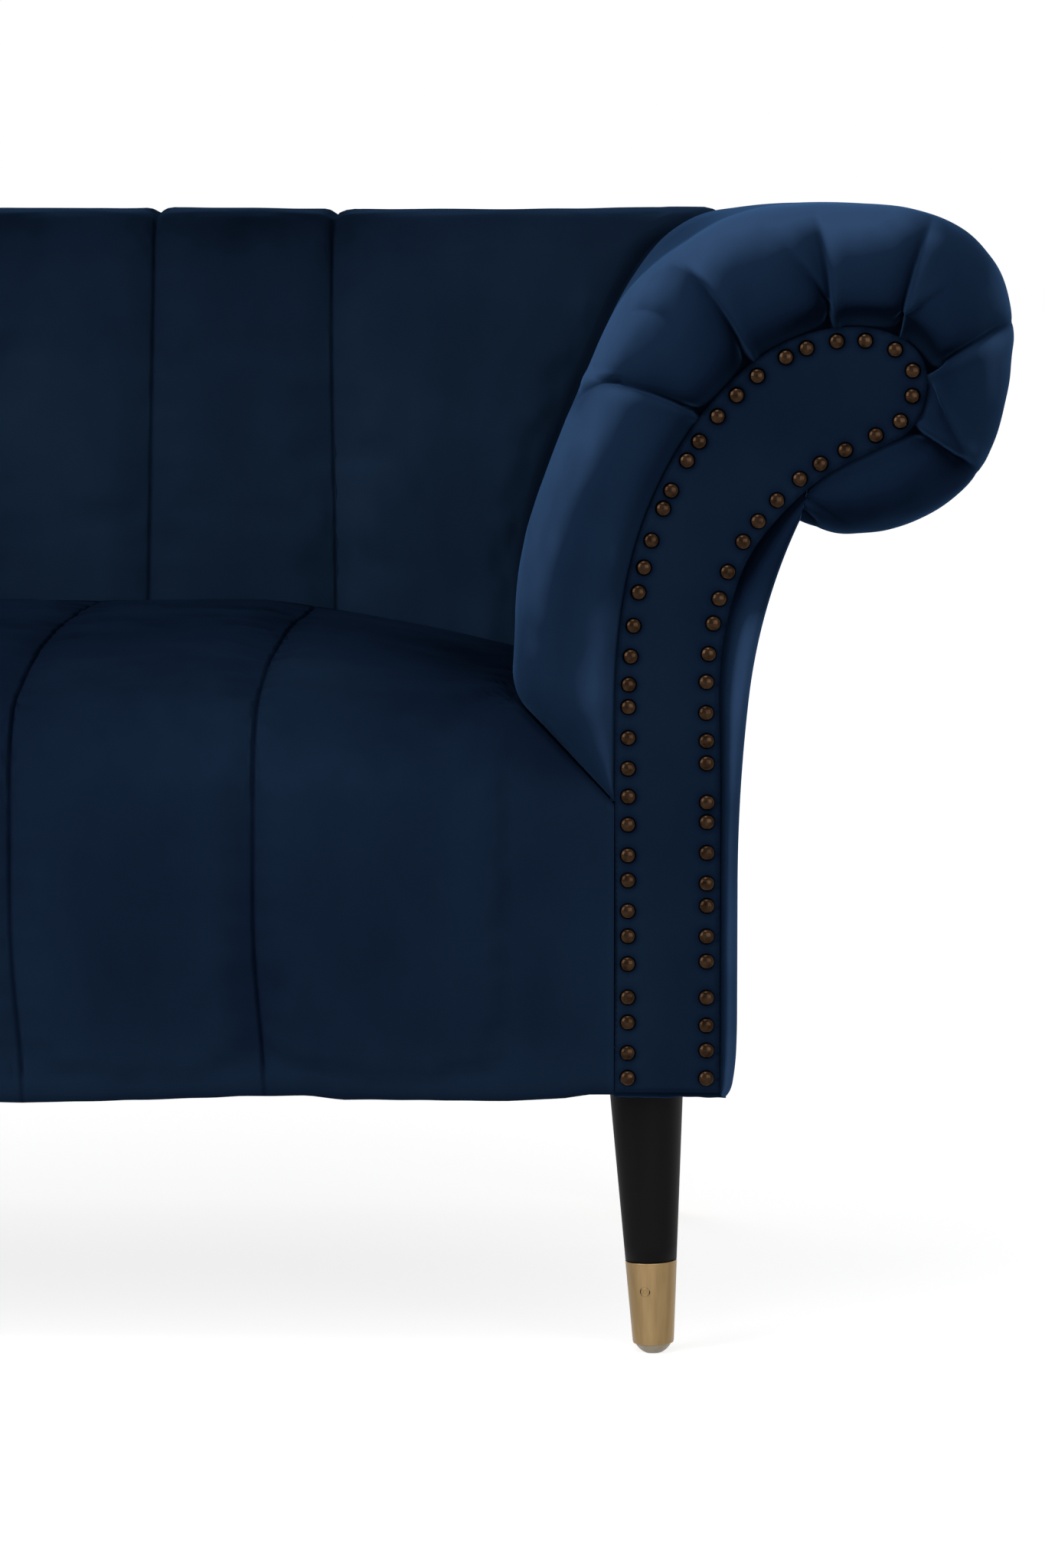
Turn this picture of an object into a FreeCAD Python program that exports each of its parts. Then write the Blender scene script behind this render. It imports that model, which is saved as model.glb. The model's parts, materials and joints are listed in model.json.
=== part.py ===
"""Two-seater sofa with scroll arms, a channelled seat and back, and tapered legs with brass ferrules.

Millimetres. +X is the viewer's right, +Y goes to the back and +Z goes up.
The origin is on the floor, below the middle of the sofa.
"""

import FreeCAD
import Part

import math
import os
import random
from collections import namedtuple

# Overall size
WIDTH = 1680.0
DEPTH = 790.0
HEIGHT = 790.0
BASE = 187.0
ARM_WIDTH = 336.0
RAKE = math.tan(math.radians(8.0))
FRONT = -DEPTH / 2
REAR = DEPTH / 2
INNER_ARM = WIDTH / 2 - ARM_WIDTH

# Covers, facings and nails
VELVET = 2.5
FACING_THICK = 8.0
NAIL_RISE = 3.5
NAIL_RADIUS = 5.4
NAIL_CROWN_RADIUS = 3.1
NAIL_SIDES = 8
NAIL_MARGIN = 9.0
NAILS_PER_FACING = 61
NAIL_STEPS = 10
NAIL_WANDER = 1.6
NAIL_SEED = 7
FACING_FRONT = FRONT + NAIL_RISE
ARM_FRONT = FACING_FRONT + FACING_THICK
ARM_ROUNDING = 32.0
ROUNDING_ANGLES = (0.0, 35.0, 65.0, 90.0)
REAR_PANEL_THICK = 6.0
SEAM_GAP = 1.0

# Seat: height of the top along its depth, and the channels across its width
SEAT_SEAMS = (0.0, 165.0, 330.0)
SEAT_FRONT = -388.0
SEAT_SEAM_DEPTH = 5.0
SEAT_ROUND = 65.0
SEAT_SIDE_ROUND = 25.0
SEAT_TOPS = (458.0, 488.0, 487.0)
SEAT_SIDE_TOPS = (446.0, 448.0, 446.0)
SEAT_LEVEL_X = 300.0
SEAT_FALL_POWER = 1.2
SEAT_CREST_X = 412.0
SEAT_FALL_X = 460.0
SEAT_SIDE_X = 508.0
SEAT_END_X = 571.5
SEAT_HEM = BASE + 2
SEAT_BACK_GAP = 2.0
SHOULDERS = ((0.0, 0.0), (0.06, 0.34), (0.15, 0.62), (0.3, 0.9))

# Back: its front face leans more than its outside
BACK_SEAMS = (69.0, 207.0, 345.0)
BACK_CREST_X = 427.0
BACK_END_X = 628.0
BACK_FOOT_Y = 145.0
BACK_FOOT_Z = 440.0
BACK_SLOPE = 0.24
BACK_LOW = 322.0
BACK_SHOULDER_Z = 748.0
BACK_ROUND = 30.0
BACK_TOP = 785.0
BACK_SEAM_DEPTH = 7.0
BACK_TOP_NOTCH = 5.0
BACK_EDGE_DROP = 2.0
BACK_REAR_EDGE_Z = 771.0
OUTSIDE_BACK_X = 656.0
OUTSIDE_BACK_Z = 770.0
BACK_BOARD_MARGIN = 5.0

# Foam and suspension
FOAM_FRONT = -374.0
FOAM_ROUND = 55.0
FOAM_TOPS = (444.0, 473.0, 472.0)
FOAM_END_X = 560.0
FOAM_SIDE = ((380.0, 470.0), (508.0, 437.0), (560.0, 385.0))
BACK_PAD = 13.0
BACK_FOAM_TOP = 766.0
DECK = 308.0
SPRING_X = (63.0, 189.0, 315.0, 441.0)
SPRING_WIDTH = 50.0
SPRING_WIRE = 4.0
SPRING_RUNS = 14
SPRING_FRONT_Y = -350.0
SPRING_REAR_Y = 280.0
SPRING_Z = 299.0
SPRING_BEND = 8.0
CLIP_SIZE = (18.0, 12.0, 8.0)
CLIP_SLACK = 0.2
WEBBING_X = (70.0, 210.0, 350.0, 450.0)
WEBBING_WIDTH = 50.0
WEBBING_THICK = 2.0
HESSIAN_THICK = 1.5
HESSIAN_Z = 305.5

# Timber frame
RAIL = 25.0
RAIL_HEIGHT = 110.0
RAIL_TOP = BASE + RAIL_HEIGHT
RAIL_END_X = 648.0
FRONT_RAIL_Y = -363.0
BOARD = 18.0
REAR_BOARD_FRONT = 32.0
REAR_RAIL_FRONT = REAR_BOARD_FRONT + RAIL
BACK_BOARD = 3.0
BACK_INSIDE = VELVET + BACK_BOARD
POST_X = ((113.0, 139.0), (474.0, 501.0))
POST_TOP = 715.0
TOP_RAIL_TOP = 752.0
TACK_RAIL_Z = (400.0, 450.0)
WEB_FACE = 54.0
STRETCHER_X = 190.0
STRETCHER_HEIGHT = 60.0
LINER = 3.0
ARM_RAILS = {
    "arm_top_rail": (690.0, 750.0, 722.0, 744.0),
    "arm_neck_rail": (644.0, 668.0, 535.0, 572.0),
    "arm_tack_rail": (576.0, 598.0, 392.0, 440.0),
}
DOWEL_RADIUS = 4.0
DOWEL_LENGTH = 34.0
DOWEL_Z = (215.0, 270.0)

# Legs, ferrules, glides and their fixings
LEG_X = 594.0
LEG_SETBACK = 12.0
LEG_SPLAY = 1.7
LEG_TOP_RADIUS = 25.5
LEG_END_RADIUS = 14.0
LEG_LENGTH = 180.0
LEG_TRIM = 5.0
FERRULE_START = 122.0
FERRULE_WALL = 1.0
WOOD_END = 176.0
GLIDE_RADIUS = 12.5
GLIDE_END = 188.0
BLOCK_SIDE = 85.0
BLOCK_HEIGHT = 40.0
BOLT_RADIUS = 4.0
BOLT_LOW = BASE - 45
BOLT_HIGH = BASE + BLOCK_HEIGHT + 5
NUT_RADIUS = 10.0
NUT_FLANGE = 1.5
NUT_BARREL_RADIUS = 5.5
NUT_BARREL_LENGTH = 12.0
DUST_COVER_THICK = 1.5
LEG_HOLE_RADIUS = 28.0

# Room that cutting solids reach past what they cut
REACH = 1000.0
PAST = 20.0

# Share of a radius at the middle of a quarter turn
ARC_MIDDLE = math.sqrt(0.5)

# Stations of a scroll outline, clockwise seen from the front: place across the arm and above the frame's
# underside, heading on arrival and on leaving in degrees, whether a straight run follows, the share of the
# front rounding, and the padding between the cover and the boards.
Station = namedtuple("Station", "across up arrive leave straight soft core", defaults=(0.0, 0.0))

ARM_STATIONS = (
    Station(69, 0, 180, 90, True, 0.0, 3),
    Station(69, 201, 90, 135, True, 0.0, 3),
    Station(10, 260, 135, 135, False, 0.7, 34),
    Station(0, 323, 90, 90, False, 1.0, 36),
    Station(40, 469, 67, 67, False, 1.0, 36),
    Station(88, 565, 54, 54, False, 1.0, 36),
    Station(211, 603, 0, 0, False, 1.0, 38),
    Station(304, 584, -34, -34, False, 1.0, 38),
    Station(336, 520, -90, -90, False, 1.0, 38),
    Station(288, 397, -147, -147, False, 1.0, 38),
    Station(226, 381, -180, -180, False, 1.0, 38),
    Station(193, 391, -207, -115, False, 0.5, 22),
    Station(152, 143, -90, -90, True, 0.15, 8),
    Station(152, 0, -90, -180, True, 0.15, 8),
)
TUCK = ARM_STATIONS[1]
LINER_STATIONS = ARM_STATIONS[2:6]
OUTSIDE_STATIONS = ARM_STATIONS[11:14]
CUSP = ARM_STATIONS[11]

FACING_STATIONS = (
    Station(69, 5, 180, 90, True),
    Station(69, 263, 90, 90, False),
    Station(96, 410, 66, 66, False),
    Station(156, 493, 41, 41, False),
    Station(229, 520.6, 0, 0, False),
    Station(277.3, 485, -90, -90, False),
    Station(257, 445, -154, -154, False),
    Station(197, 411, -139, -139, False),
    Station(151, 348, -108, -108, False),
    Station(140, 183, -90, -90, True),
    Station(140, 5, -90, -180, True),
)


def at(x, y, z):
    return FreeCAD.Vector(x, y, z)


def box(x0, x1, y0, y1, z0, z1):
    return Part.makeBox(x1 - x0, y1 - y0, z1 - z0, at(x0, y0, z0))


def line(start, end):
    return Part.LineSegment(start, end).toShape()


def arc(start, middle, end):
    return Part.Arc(start, middle, end).toShape()


def mirrored(shape):
    return shape.mirror(at(0, 0, 0), at(1, 0, 0))


def fused(shapes):
    return shapes[0].multiFuse(shapes[1:]).removeSplitter()


def prism(points, travel):
    """Solid of a flat closed polygon moved along a vector."""
    return Part.Face(Part.makePolygon(points + points[:1])).extrude(travel)


def across_width(points, half_width):
    """Solid of a polygon of (y, z) points that reaches half_width to both sides."""
    return prism([at(-half_width, y, z) for y, z in points], at(2 * half_width, 0, 0))


# The raked outside of the back


def outside_y(z, forward=0.0):
    """Depth of the raked outside plane at height z, or of a plane parallel to it and further forward."""
    return REAR - (HEIGHT - z) * RAKE - forward * math.hypot(1.0, RAKE)


def slab(behind, front):
    """Everything between two planes parallel to the outside of the back."""
    low = BASE - PAST
    high = HEIGHT + PAST
    points = [
        (outside_y(low, front), low),
        (outside_y(high, front), high),
        (outside_y(high, behind), high),
        (outside_y(low, behind), low),
    ]
    return across_width(points, REACH)


def behind(forward):
    return slab(-REACH, forward)


def raked(forward_from, forward_to, x0, x1, z0, z1):
    """Timber that leans with the back."""
    return slab(forward_from, forward_to).common(box(x0, x1, FRONT, REAR + PAST, z0, z1))


# Scroll outlines


def heading(degrees):
    return at(math.cos(math.radians(degrees)), 0, math.sin(math.radians(degrees)))


def inward(degrees):
    return heading(degrees - 90)


def placed(station, y, inset, drop=0.0):
    """A station's point at depth y, moved inside the outline by inset. The underside stays level."""
    arrive = inward(station.arrive)
    leave = inward(station.leave)
    shift = (arrive + leave) * (inset / (1 + arrive.dot(leave)))
    point = at(INNER_ARM + station.across, y, BASE + station.up) + shift
    if station.up == 0:
        point.z = BASE - drop
    return point


def arc_leaving(start, direction, end):
    """Edge that leaves start in a direction and ends at end: an arc, or a line where end lies straight ahead."""
    normal = at(-direction.z, 0, direction.x)
    chord = end - start
    side = chord.dot(normal)
    if abs(side) < 1e-4 * chord.Length:
        return line(start, end)
    radius = chord.dot(chord) / (2 * side)
    centre = start + normal * radius
    towards = (start + end) * 0.5 - centre
    return arc(start, centre + towards * (abs(radius) / towards.Length), end)


def biarc(start, leaving, end, arriving):
    """Two arcs that join two points with given directions."""
    chord = end - start
    both = leaving + arriving
    spread = 2 * (1 - leaving.dot(arriving))
    along = chord.dot(both)
    if spread < 1e-9:
        reach = chord.dot(chord) / (2 * along)
    else:
        reach = (math.sqrt(along * along + spread * chord.dot(chord)) - along) / spread
    joint = (start + end + (leaving - arriving) * reach) * 0.5
    second = arc_leaving(end, arriving * -1, joint)
    return [arc_leaving(start, leaving, joint), second]


def scroll_edges(stations, y, inset_of, drop=0.0):
    """Edges through the stations in order. inset_of gives how far inside the outline each one lies."""
    edges = []
    for station, following in zip(stations, stations[1:]):
        start = placed(station, y, inset_of(station), drop)
        end = placed(following, y, inset_of(following), drop)
        if station.straight:
            edges.append(line(start, end))
        else:
            edges += biarc(start, heading(station.leave), end, heading(following.arrive))
    return edges


def scroll_wire(stations, y, inset_of, drop=0.0):
    return Part.Wire(scroll_edges(stations + stations[:1], y, inset_of, drop))


def arm_prism(inset_of, y=ARM_FRONT):
    """An arm outline carried to the back, past the outside plane."""
    wire = scroll_wire(ARM_STATIONS, y, inset_of)
    return Part.Face(wire).extrude(at(0, REAR + PAST - y, 0))


def arm_form(inset, drop=0.0):
    """The padded arm with its rounded front, or the same form further inside."""
    sections = []
    for angle in ROUNDING_ANGLES:
        turn = math.radians(angle)
        y = ARM_FRONT + inset + ARM_ROUNDING * (1 - math.cos(turn))
        rounding = ARM_ROUNDING * (1 - math.sin(turn))

        def inset_of(station, rounding=rounding):
            return inset + rounding * station.soft

        sections.append(scroll_wire(ARM_STATIONS, y, inset_of, drop))
    body_start = ARM_FRONT + inset + ARM_ROUNDING
    body = Part.Face(sections[-1]).extrude(at(0, REAR + PAST - body_start, 0))
    return Part.makeLoft(sections, True, True).fuse(body)


def band(stations, inset_from, inset_to, y0, y1):
    """A curved sheet that follows part of an arm outline."""
    first = stations[0]._replace(arrive=stations[0].leave)
    last = stations[-1]._replace(leave=stations[-1].arrive)
    run = (first,) + stations[1:-1] + (last,)
    outer = scroll_edges(run, y0, inset_from)
    inner = scroll_edges(run, y0, inset_to)
    ends = [
        line(placed(first, y0, inset_from(first)), placed(first, y0, inset_to(first))),
        line(placed(last, y0, inset_from(last)), placed(last, y0, inset_to(last))),
    ]
    ring = Part.Wire(Part.__sortEdges__(outer + inner + ends))
    return Part.Face(ring).extrude(at(0, y1 - y0, 0))


def core_inset(station):
    return station.core


def arm_clearance():
    """The room that the right arm takes, with the gap of a seam around it."""
    return arm_prism(lambda station: -SEAM_GAP, FRONT - PAST)


def between_arms(shape):
    keep_out = arm_clearance()
    return shape.cut(keep_out).cut(mirrored(keep_out))


# Right arm


def arm_timber():
    board_front = ARM_FRONT + VELVET
    board_back = board_front + BOARD
    core = arm_prism(core_inset, board_front)
    nodes = {
        "arm_front_board": core.common(box(0, WIDTH, board_front, board_back, BASE, HEIGHT)),
        "arm_rear_board": core.common(slab(REAR_PANEL_THICK + VELVET, REAR_BOARD_FRONT)),
    }
    for name, (x0, x1, z0, z1) in ARM_RAILS.items():
        nodes[name] = box(x0, x1, board_back, REAR, z0, z1).cut(behind(REAR_BOARD_FRONT))
    liner = band(LINER_STATIONS, core_inset, lambda station: station.core + LINER, board_back, REAR)
    nodes["arm_liner"] = liner.cut(behind(REAR_BOARD_FRONT))
    panel = band(
        OUTSIDE_STATIONS,
        lambda station: VELVET,
        lambda station: VELVET + BACK_BOARD,
        board_front + ARM_ROUNDING,
        REAR,
    )
    nodes["outside_arm_board"] = panel.cut(behind(REAR_PANEL_THICK))
    return nodes


def arm_padding():
    """Foam round the boards, the covers over it, and the panel that closes the rear end."""
    cusp_x = INNER_ARM + CUSP.across
    cusp_z = BASE + CUSP.up
    wall_x = INNER_ARM + TUCK.across
    tuck_z = BASE + TUCK.up
    low = BASE - PAST
    board_back = ARM_FRONT + VELVET + BOARD
    below_foam = box(INNER_ARM, cusp_x, FRONT, REAR, low, tuck_z)
    behind_board = box(INNER_ARM, wall_x + 2 * VELVET, board_back, REAR, low, tuck_z)
    outside = box(wall_x + PAST, cusp_x, FRONT, REAR + PAST, low, cusp_z)
    neck = box(wall_x + PAST, cusp_x, FRONT, REAR + PAST, low, cusp_z + 2 * VELVET)
    filling = arm_form(VELVET, PAST)
    foam = filling.cut(arm_prism(core_inset, ARM_FRONT + VELVET)).cut(below_foam).cut(neck)
    shell = arm_form(0).cut(filling).cut(behind(REAR_PANEL_THICK))
    rear_panel = arm_prism(lambda station: 0).common(slab(0, REAR_PANEL_THICK))
    panel_room = box(
        0, OUTSIDE_BACK_X + SEAM_GAP / 2, FRONT, REAR + PAST, BASE - PAST, OUTSIDE_BACK_Z + SEAM_GAP / 2
    )
    return {
        "arm_foam": foam.cut(behind(REAR_PANEL_THICK)),
        "arm_cover": shell.cut(outside).cut(behind_board),
        "outside_arm_cover": shell.common(outside),
        "arm_rear_panel": rear_panel.cut(panel_room),
    }


def facing():
    wire = scroll_wire(FACING_STATIONS, FACING_FRONT, lambda station: 0)
    return Part.Face(wire).extrude(at(0, FACING_THICK, 0))


def nail(centre):
    rings = []
    for radius, rise in ((NAIL_RADIUS, 0.0), (NAIL_CROWN_RADIUS, NAIL_RISE)):
        corners = [
            centre + heading(360 * side / NAIL_SIDES) * radius - at(0, rise, 0) for side in range(NAIL_SIDES)
        ]
        rings.append(corners)
    sides = [rings[0], rings[1]]
    for side in range(NAIL_SIDES):
        following = (side + 1) % NAIL_SIDES
        sides.append([rings[0][side], rings[0][following], rings[1][following], rings[1][side]])
    faces = [Part.Face(Part.makePolygon(corners + corners[:1])) for corners in sides]
    return Part.Solid(Part.Shell(faces))


def facing_nails():
    """A row along both long edges and round the head, a little uneven as if driven by hand."""
    wander = random.Random(NAIL_SEED)
    path = Part.Wire(scroll_edges(FACING_STATIONS, FACING_FRONT, lambda station: NAIL_MARGIN))
    spots = path.discretize(Number=NAILS_PER_FACING * NAIL_STEPS)
    nails = []
    for index in range(NAILS_PER_FACING):
        share = index / (NAILS_PER_FACING - 1)
        spot = round(share * (len(spots) - 1)) + round(wander.uniform(-1, 1) * NAIL_WANDER)
        nails.append(nail(spots[min(max(spot, 0), len(spots) - 1)]))
    return Part.makeCompound(nails)


# Seat


def seat_end_y(z):
    """The seat's rear end, a small gap in front of the back."""
    return back_front_y(z, 1.0) - SEAT_BACK_GAP


def seat_tops(x):
    """Heights of the front edge, the crown and the crease: level, then falling towards the arm and under it."""
    share = max(x - SEAT_LEVEL_X, 0) / (SEAT_SIDE_X - SEAT_LEVEL_X)
    fall = min(share, 1) ** SEAT_FALL_POWER
    tuck = max(x - SEAT_SIDE_X, 0)
    return [top - fall * (top - side) - tuck for top, side in zip(SEAT_TOPS, SEAT_SIDE_TOPS)]


def seat_rounding(x):
    """Radius of the front edge, smaller beside the arm."""
    share = max(x - SEAT_FALL_X, 0) / (SEAT_SIDE_X - SEAT_FALL_X)
    return SEAT_ROUND - min(share, 1) * (SEAT_ROUND - SEAT_SIDE_ROUND)


def seat_section(x, swell):
    """Section across the depth at x. The swell goes from 0 at a seam to 1 at the crest of a channel."""
    sunk = SEAT_SEAM_DEPTH * (1 - swell)
    front = SEAT_FRONT + sunk
    rounding = seat_rounding(x)
    edge_z, crown_z, crease_z = (top - sunk for top in seat_tops(x))
    round_low = at(x, front, edge_z - rounding)
    round_top = at(x, front + rounding, edge_z)
    diagonal = rounding * (1 - ARC_MIDDLE)
    round_middle = at(x, front + diagonal, edge_z - diagonal)
    crease = at(x, seat_end_y(crease_z), crease_z)
    crown = at(x, (round_top.y + crease.y) / 2, crown_z)
    hem = at(x, front, SEAT_HEM)
    deck_rear = at(x, seat_end_y(DECK), DECK)
    deck_front = at(x, FRONT_RAIL_Y, DECK)
    rail_foot = at(x, FRONT_RAIL_Y, SEAT_HEM)
    edges = [
        line(hem, round_low),
        arc(round_low, round_middle, round_top),
        arc(round_top, crown, crease),
        line(crease, deck_rear),
        line(deck_rear, deck_front),
        line(deck_front, rail_foot),
        line(rail_foot, hem),
    ]
    return Part.Wire(edges)


def channel(section, start, end):
    """One padded channel between two seams."""
    width = end - start
    rising = [(start + share * width, swell) for share, swell in SHOULDERS]
    falling = [(end - share * width, swell) for share, swell in reversed(SHOULDERS)]
    stops = rising + [((start + end) / 2, 1.0)] + falling
    return Part.makeLoft([section(x, swell) for x, swell in stops], True, True)


def seat_form():
    """All the channels: the outer ones fall towards the arms and tuck in under them."""
    halves = [channel(seat_section, start, end) for start, end in zip(SEAT_SEAMS, SEAT_SEAMS[1:])]
    last = SEAT_SEAMS[-1]
    crest_width = 2 * (SEAT_CREST_X - last)
    side_stops = [(last + share * crest_width, swell) for share, swell in SHOULDERS]
    side_stops += [(x, 1.0) for x in (SEAT_CREST_X, SEAT_FALL_X, SEAT_SIDE_X, SEAT_END_X)]
    halves.append(Part.makeLoft([seat_section(*stop) for stop in side_stops], True, True))
    return fused(halves + [mirrored(half) for half in halves])


def seat_filling(closing):
    """The plain foam form under the channels, closed below and behind through the given (y, z) points."""
    edge_z, crown_z, crease_z = FOAM_TOPS
    start = -FOAM_END_X
    diagonal = FOAM_ROUND * (1 - ARC_MIDDLE)
    round_low = at(start, FOAM_FRONT, edge_z - FOAM_ROUND)
    round_middle = at(start, FOAM_FRONT + diagonal, edge_z - diagonal)
    round_top = at(start, FOAM_FRONT + FOAM_ROUND, edge_z)
    crease = at(start, seat_end_y(crease_z), crease_z)
    crown = at(start, (round_top.y + crease.y) / 2, crown_z)
    corners = [crease] + [at(start, y, z) for y, z in closing] + [round_low]
    edges = [arc(round_low, round_middle, round_top), arc(round_top, crown, crease)]
    edges += [line(first, second) for first, second in zip(corners, corners[1:])]
    form = Part.Face(Part.Wire(edges)).extrude(at(2 * FOAM_END_X, 0, 0))
    right = list(FOAM_SIDE) + [(FOAM_END_X, BASE - PAST)]
    outline = [at(x, FRONT, z) for x, z in right] + [at(-x, FRONT, z) for x, z in reversed(right)]
    return form.common(prism(outline, at(0, DEPTH, 0)))


def seat():
    crease_z = FOAM_TOPS[2]
    behind_crease = seat_end_y(crease_z) + PAST
    below = BASE - PAST
    hollow = seat_filling([(behind_crease, crease_z), (behind_crease, below), (FOAM_FRONT, below)])
    foam = seat_filling(
        [
            (seat_end_y(DECK), DECK),
            (FRONT_RAIL_Y, DECK),
            (FRONT_RAIL_Y, SEAT_HEM),
            (FOAM_FRONT, SEAT_HEM),
        ]
    )
    return {"seat_cover": seat_form().cut(hollow), "seat_foam": foam}


# Back


def back_front_y(z, swell):
    """Depth of the inside back at height z. The swell goes from 0 at a seam to 1 at a crest."""
    return BACK_FOOT_Y + (z - BACK_FOOT_Z) * BACK_SLOPE + BACK_SEAM_DEPTH * (1 - swell)


def rolled_edge(x, shoulder_y, shoulder_z, top):
    """Rounded edge from the inside back to the top: its two ends and its middle."""
    rise = top - shoulder_z
    shoulder = at(x, shoulder_y, shoulder_z)
    middle = at(x, shoulder_y + (1 - ARC_MIDDLE) * BACK_ROUND, shoulder_z + ARC_MIDDLE * rise)
    return shoulder, middle, at(x, shoulder_y + BACK_ROUND, top)


def back_section(x, swell):
    top = BACK_TOP - BACK_TOP_NOTCH * (1 - swell)
    low = at(x, back_front_y(BACK_LOW, swell), BACK_LOW)
    shoulder_y = back_front_y(BACK_SHOULDER_Z, swell)
    shoulder, middle, edge = rolled_edge(x, shoulder_y, BACK_SHOULDER_Z, top - BACK_EDGE_DROP)
    rear_edge = at(x, outside_y(BACK_REAR_EDGE_Z), BACK_REAR_EDGE_Z)
    crown = at(x, (edge.y + rear_edge.y) / 2, top)
    inside = REAR_PANEL_THICK + SEAM_GAP
    step = at(x, outside_y(BACK_REAR_EDGE_Z, inside), BACK_REAR_EDGE_Z)
    rear_low = at(x, outside_y(BACK_LOW, inside), BACK_LOW)
    edges = [
        line(low, shoulder),
        arc(shoulder, middle, edge),
        arc(edge, crown, rear_edge),
        line(rear_edge, step),
        line(step, rear_low),
        line(rear_low, low),
    ]
    return Part.Wire(edges)


def back_form():
    """A middle channel, two more on each side, and a wide plain panel next to each arm."""
    channels = [channel(back_section, start, end) for start, end in zip(BACK_SEAMS, BACK_SEAMS[1:])]
    last = BACK_SEAMS[-1]
    crest_width = 2 * (BACK_CREST_X - last)
    side_stops = [(last + share * crest_width, swell) for share, swell in SHOULDERS]
    side_stops += [(BACK_CREST_X, 1.0), (BACK_END_X, 1.0)]
    channels.append(Part.makeLoft([back_section(*stop) for stop in side_stops], True, True))
    middle = channel(back_section, -BACK_SEAMS[0], BACK_SEAMS[0])
    return fused([middle] + channels + [mirrored(each) for each in channels])


def back_filling(foot_z, closing):
    """The plain foam form behind the channels, closed behind and below through the given (y, z) points."""
    start = -BACK_END_X - PAST

    def inside_y(z):
        return back_front_y(z, 1.0) + BACK_PAD

    shoulder_z = BACK_FOAM_TOP - BACK_ROUND
    shoulder, middle, edge = rolled_edge(start, inside_y(shoulder_z), shoulder_z, BACK_FOAM_TOP)
    foot = at(start, inside_y(foot_z), foot_z)
    corners = [edge] + [at(start, y, z) for y, z in closing] + [foot, shoulder]
    edges = [arc(shoulder, middle, edge)]
    edges += [line(first, second) for first, second in zip(corners, corners[1:])]
    return Part.Face(Part.Wire(edges)).extrude(at(-2 * start, 0, 0))


def back():
    below = BACK_LOW - PAST
    hollow = back_filling(below, [(REAR + PAST, BACK_FOAM_TOP), (REAR + PAST, below)])
    inside = REAR_PANEL_THICK + SEAM_GAP
    rail_room = TOP_RAIL_TOP + SEAM_GAP
    web_room = WEB_FACE + WEBBING_THICK + SEAM_GAP
    foam = back_filling(
        BACK_LOW,
        [
            (outside_y(BACK_FOAM_TOP, inside), BACK_FOAM_TOP),
            (outside_y(rail_room, inside), rail_room),
            (outside_y(rail_room, web_room), rail_room),
            (outside_y(BACK_LOW, web_room), BACK_LOW),
        ],
    )
    return {
        "back_cover": between_arms(back_form().cut(hollow)),
        "back_foam": between_arms(foam),
        "outside_back_cover": raked(0, VELVET, -OUTSIDE_BACK_X, OUTSIDE_BACK_X, BASE, OUTSIDE_BACK_Z),
        "outside_back_board": raked(
            VELVET,
            BACK_INSIDE,
            BACK_BOARD_MARGIN - OUTSIDE_BACK_X,
            OUTSIDE_BACK_X - BACK_BOARD_MARGIN,
            BASE + BACK_BOARD_MARGIN,
            OUTSIDE_BACK_Z - BACK_BOARD_MARGIN,
        ),
    }


# Timber frame of the seat and back


def side_dowels():
    """Dowels that join the right side rail to the front and rear rails."""
    dowels = []
    x = RAIL_END_X - RAIL / 2
    for z in DOWEL_Z:
        for joint_y in (FRONT_RAIL_Y + RAIL, outside_y(z, REAR_RAIL_FRONT)):
            start = at(x, joint_y - DOWEL_LENGTH / 2, z)
            dowels.append(Part.makeCylinder(DOWEL_RADIUS, DOWEL_LENGTH, start, at(0, 1, 0)))
    return dowels


def seat_frame():
    right_dowels = side_dowels()
    dowels = Part.makeCompound(right_dowels + [mirrored(dowel) for dowel in right_dowels])
    rail_back = FRONT_RAIL_Y + RAIL
    front_rail = box(-RAIL_END_X, RAIL_END_X, FRONT_RAIL_Y, rail_back, BASE, RAIL_TOP)
    rear_rail = raked(REAR_BOARD_FRONT, REAR_RAIL_FRONT, -RAIL_END_X, RAIL_END_X, BASE, RAIL_TOP)
    behind_rail = behind(REAR_RAIL_FRONT)
    side_rail = box(RAIL_END_X - RAIL, RAIL_END_X, rail_back, REAR, BASE, RAIL_TOP).cut(behind_rail)
    side_rail = side_rail.cut(dowels)
    stretchers = []
    for x in (-STRETCHER_X, STRETCHER_X):
        left = x - RAIL / 2
        bar = box(left, left + RAIL, rail_back, REAR, BASE, BASE + STRETCHER_HEIGHT)
        stretchers.append(bar.cut(behind_rail))
    return {
        "front_rail": front_rail.cut(dowels),
        "rear_rail": rear_rail.cut(dowels),
        "right_side_rail": side_rail,
        "left_side_rail": mirrored(side_rail),
        "seat_stretchers": Part.makeCompound(stretchers),
        "frame_dowels": dowels,
    }


def back_frame():
    rail_end = POST_X[-1][1]
    posts = [raked(BACK_INSIDE, REAR_BOARD_FRONT, x0, x1, BASE, POST_TOP) for x0, x1 in POST_X]
    straps = []
    web_low, web_high = TACK_RAIL_Z[0], TOP_RAIL_TOP
    for x in WEBBING_X:
        left = x - WEBBING_WIDTH / 2
        strap = raked(WEB_FACE, WEB_FACE + WEBBING_THICK, left, left + WEBBING_WIDTH, web_low, web_high)
        straps += [strap, mirrored(strap)]
    return {
        "back_posts": Part.makeCompound(posts + [mirrored(post) for post in posts]),
        "back_top_rail": raked(BACK_INSIDE, WEB_FACE, -rail_end, rail_end, POST_TOP, TOP_RAIL_TOP),
        "back_tack_rail": raked(REAR_BOARD_FRONT, WEB_FACE, -rail_end, rail_end, *TACK_RAIL_Z),
        "back_webbing": Part.makeCompound(straps),
    }


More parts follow.
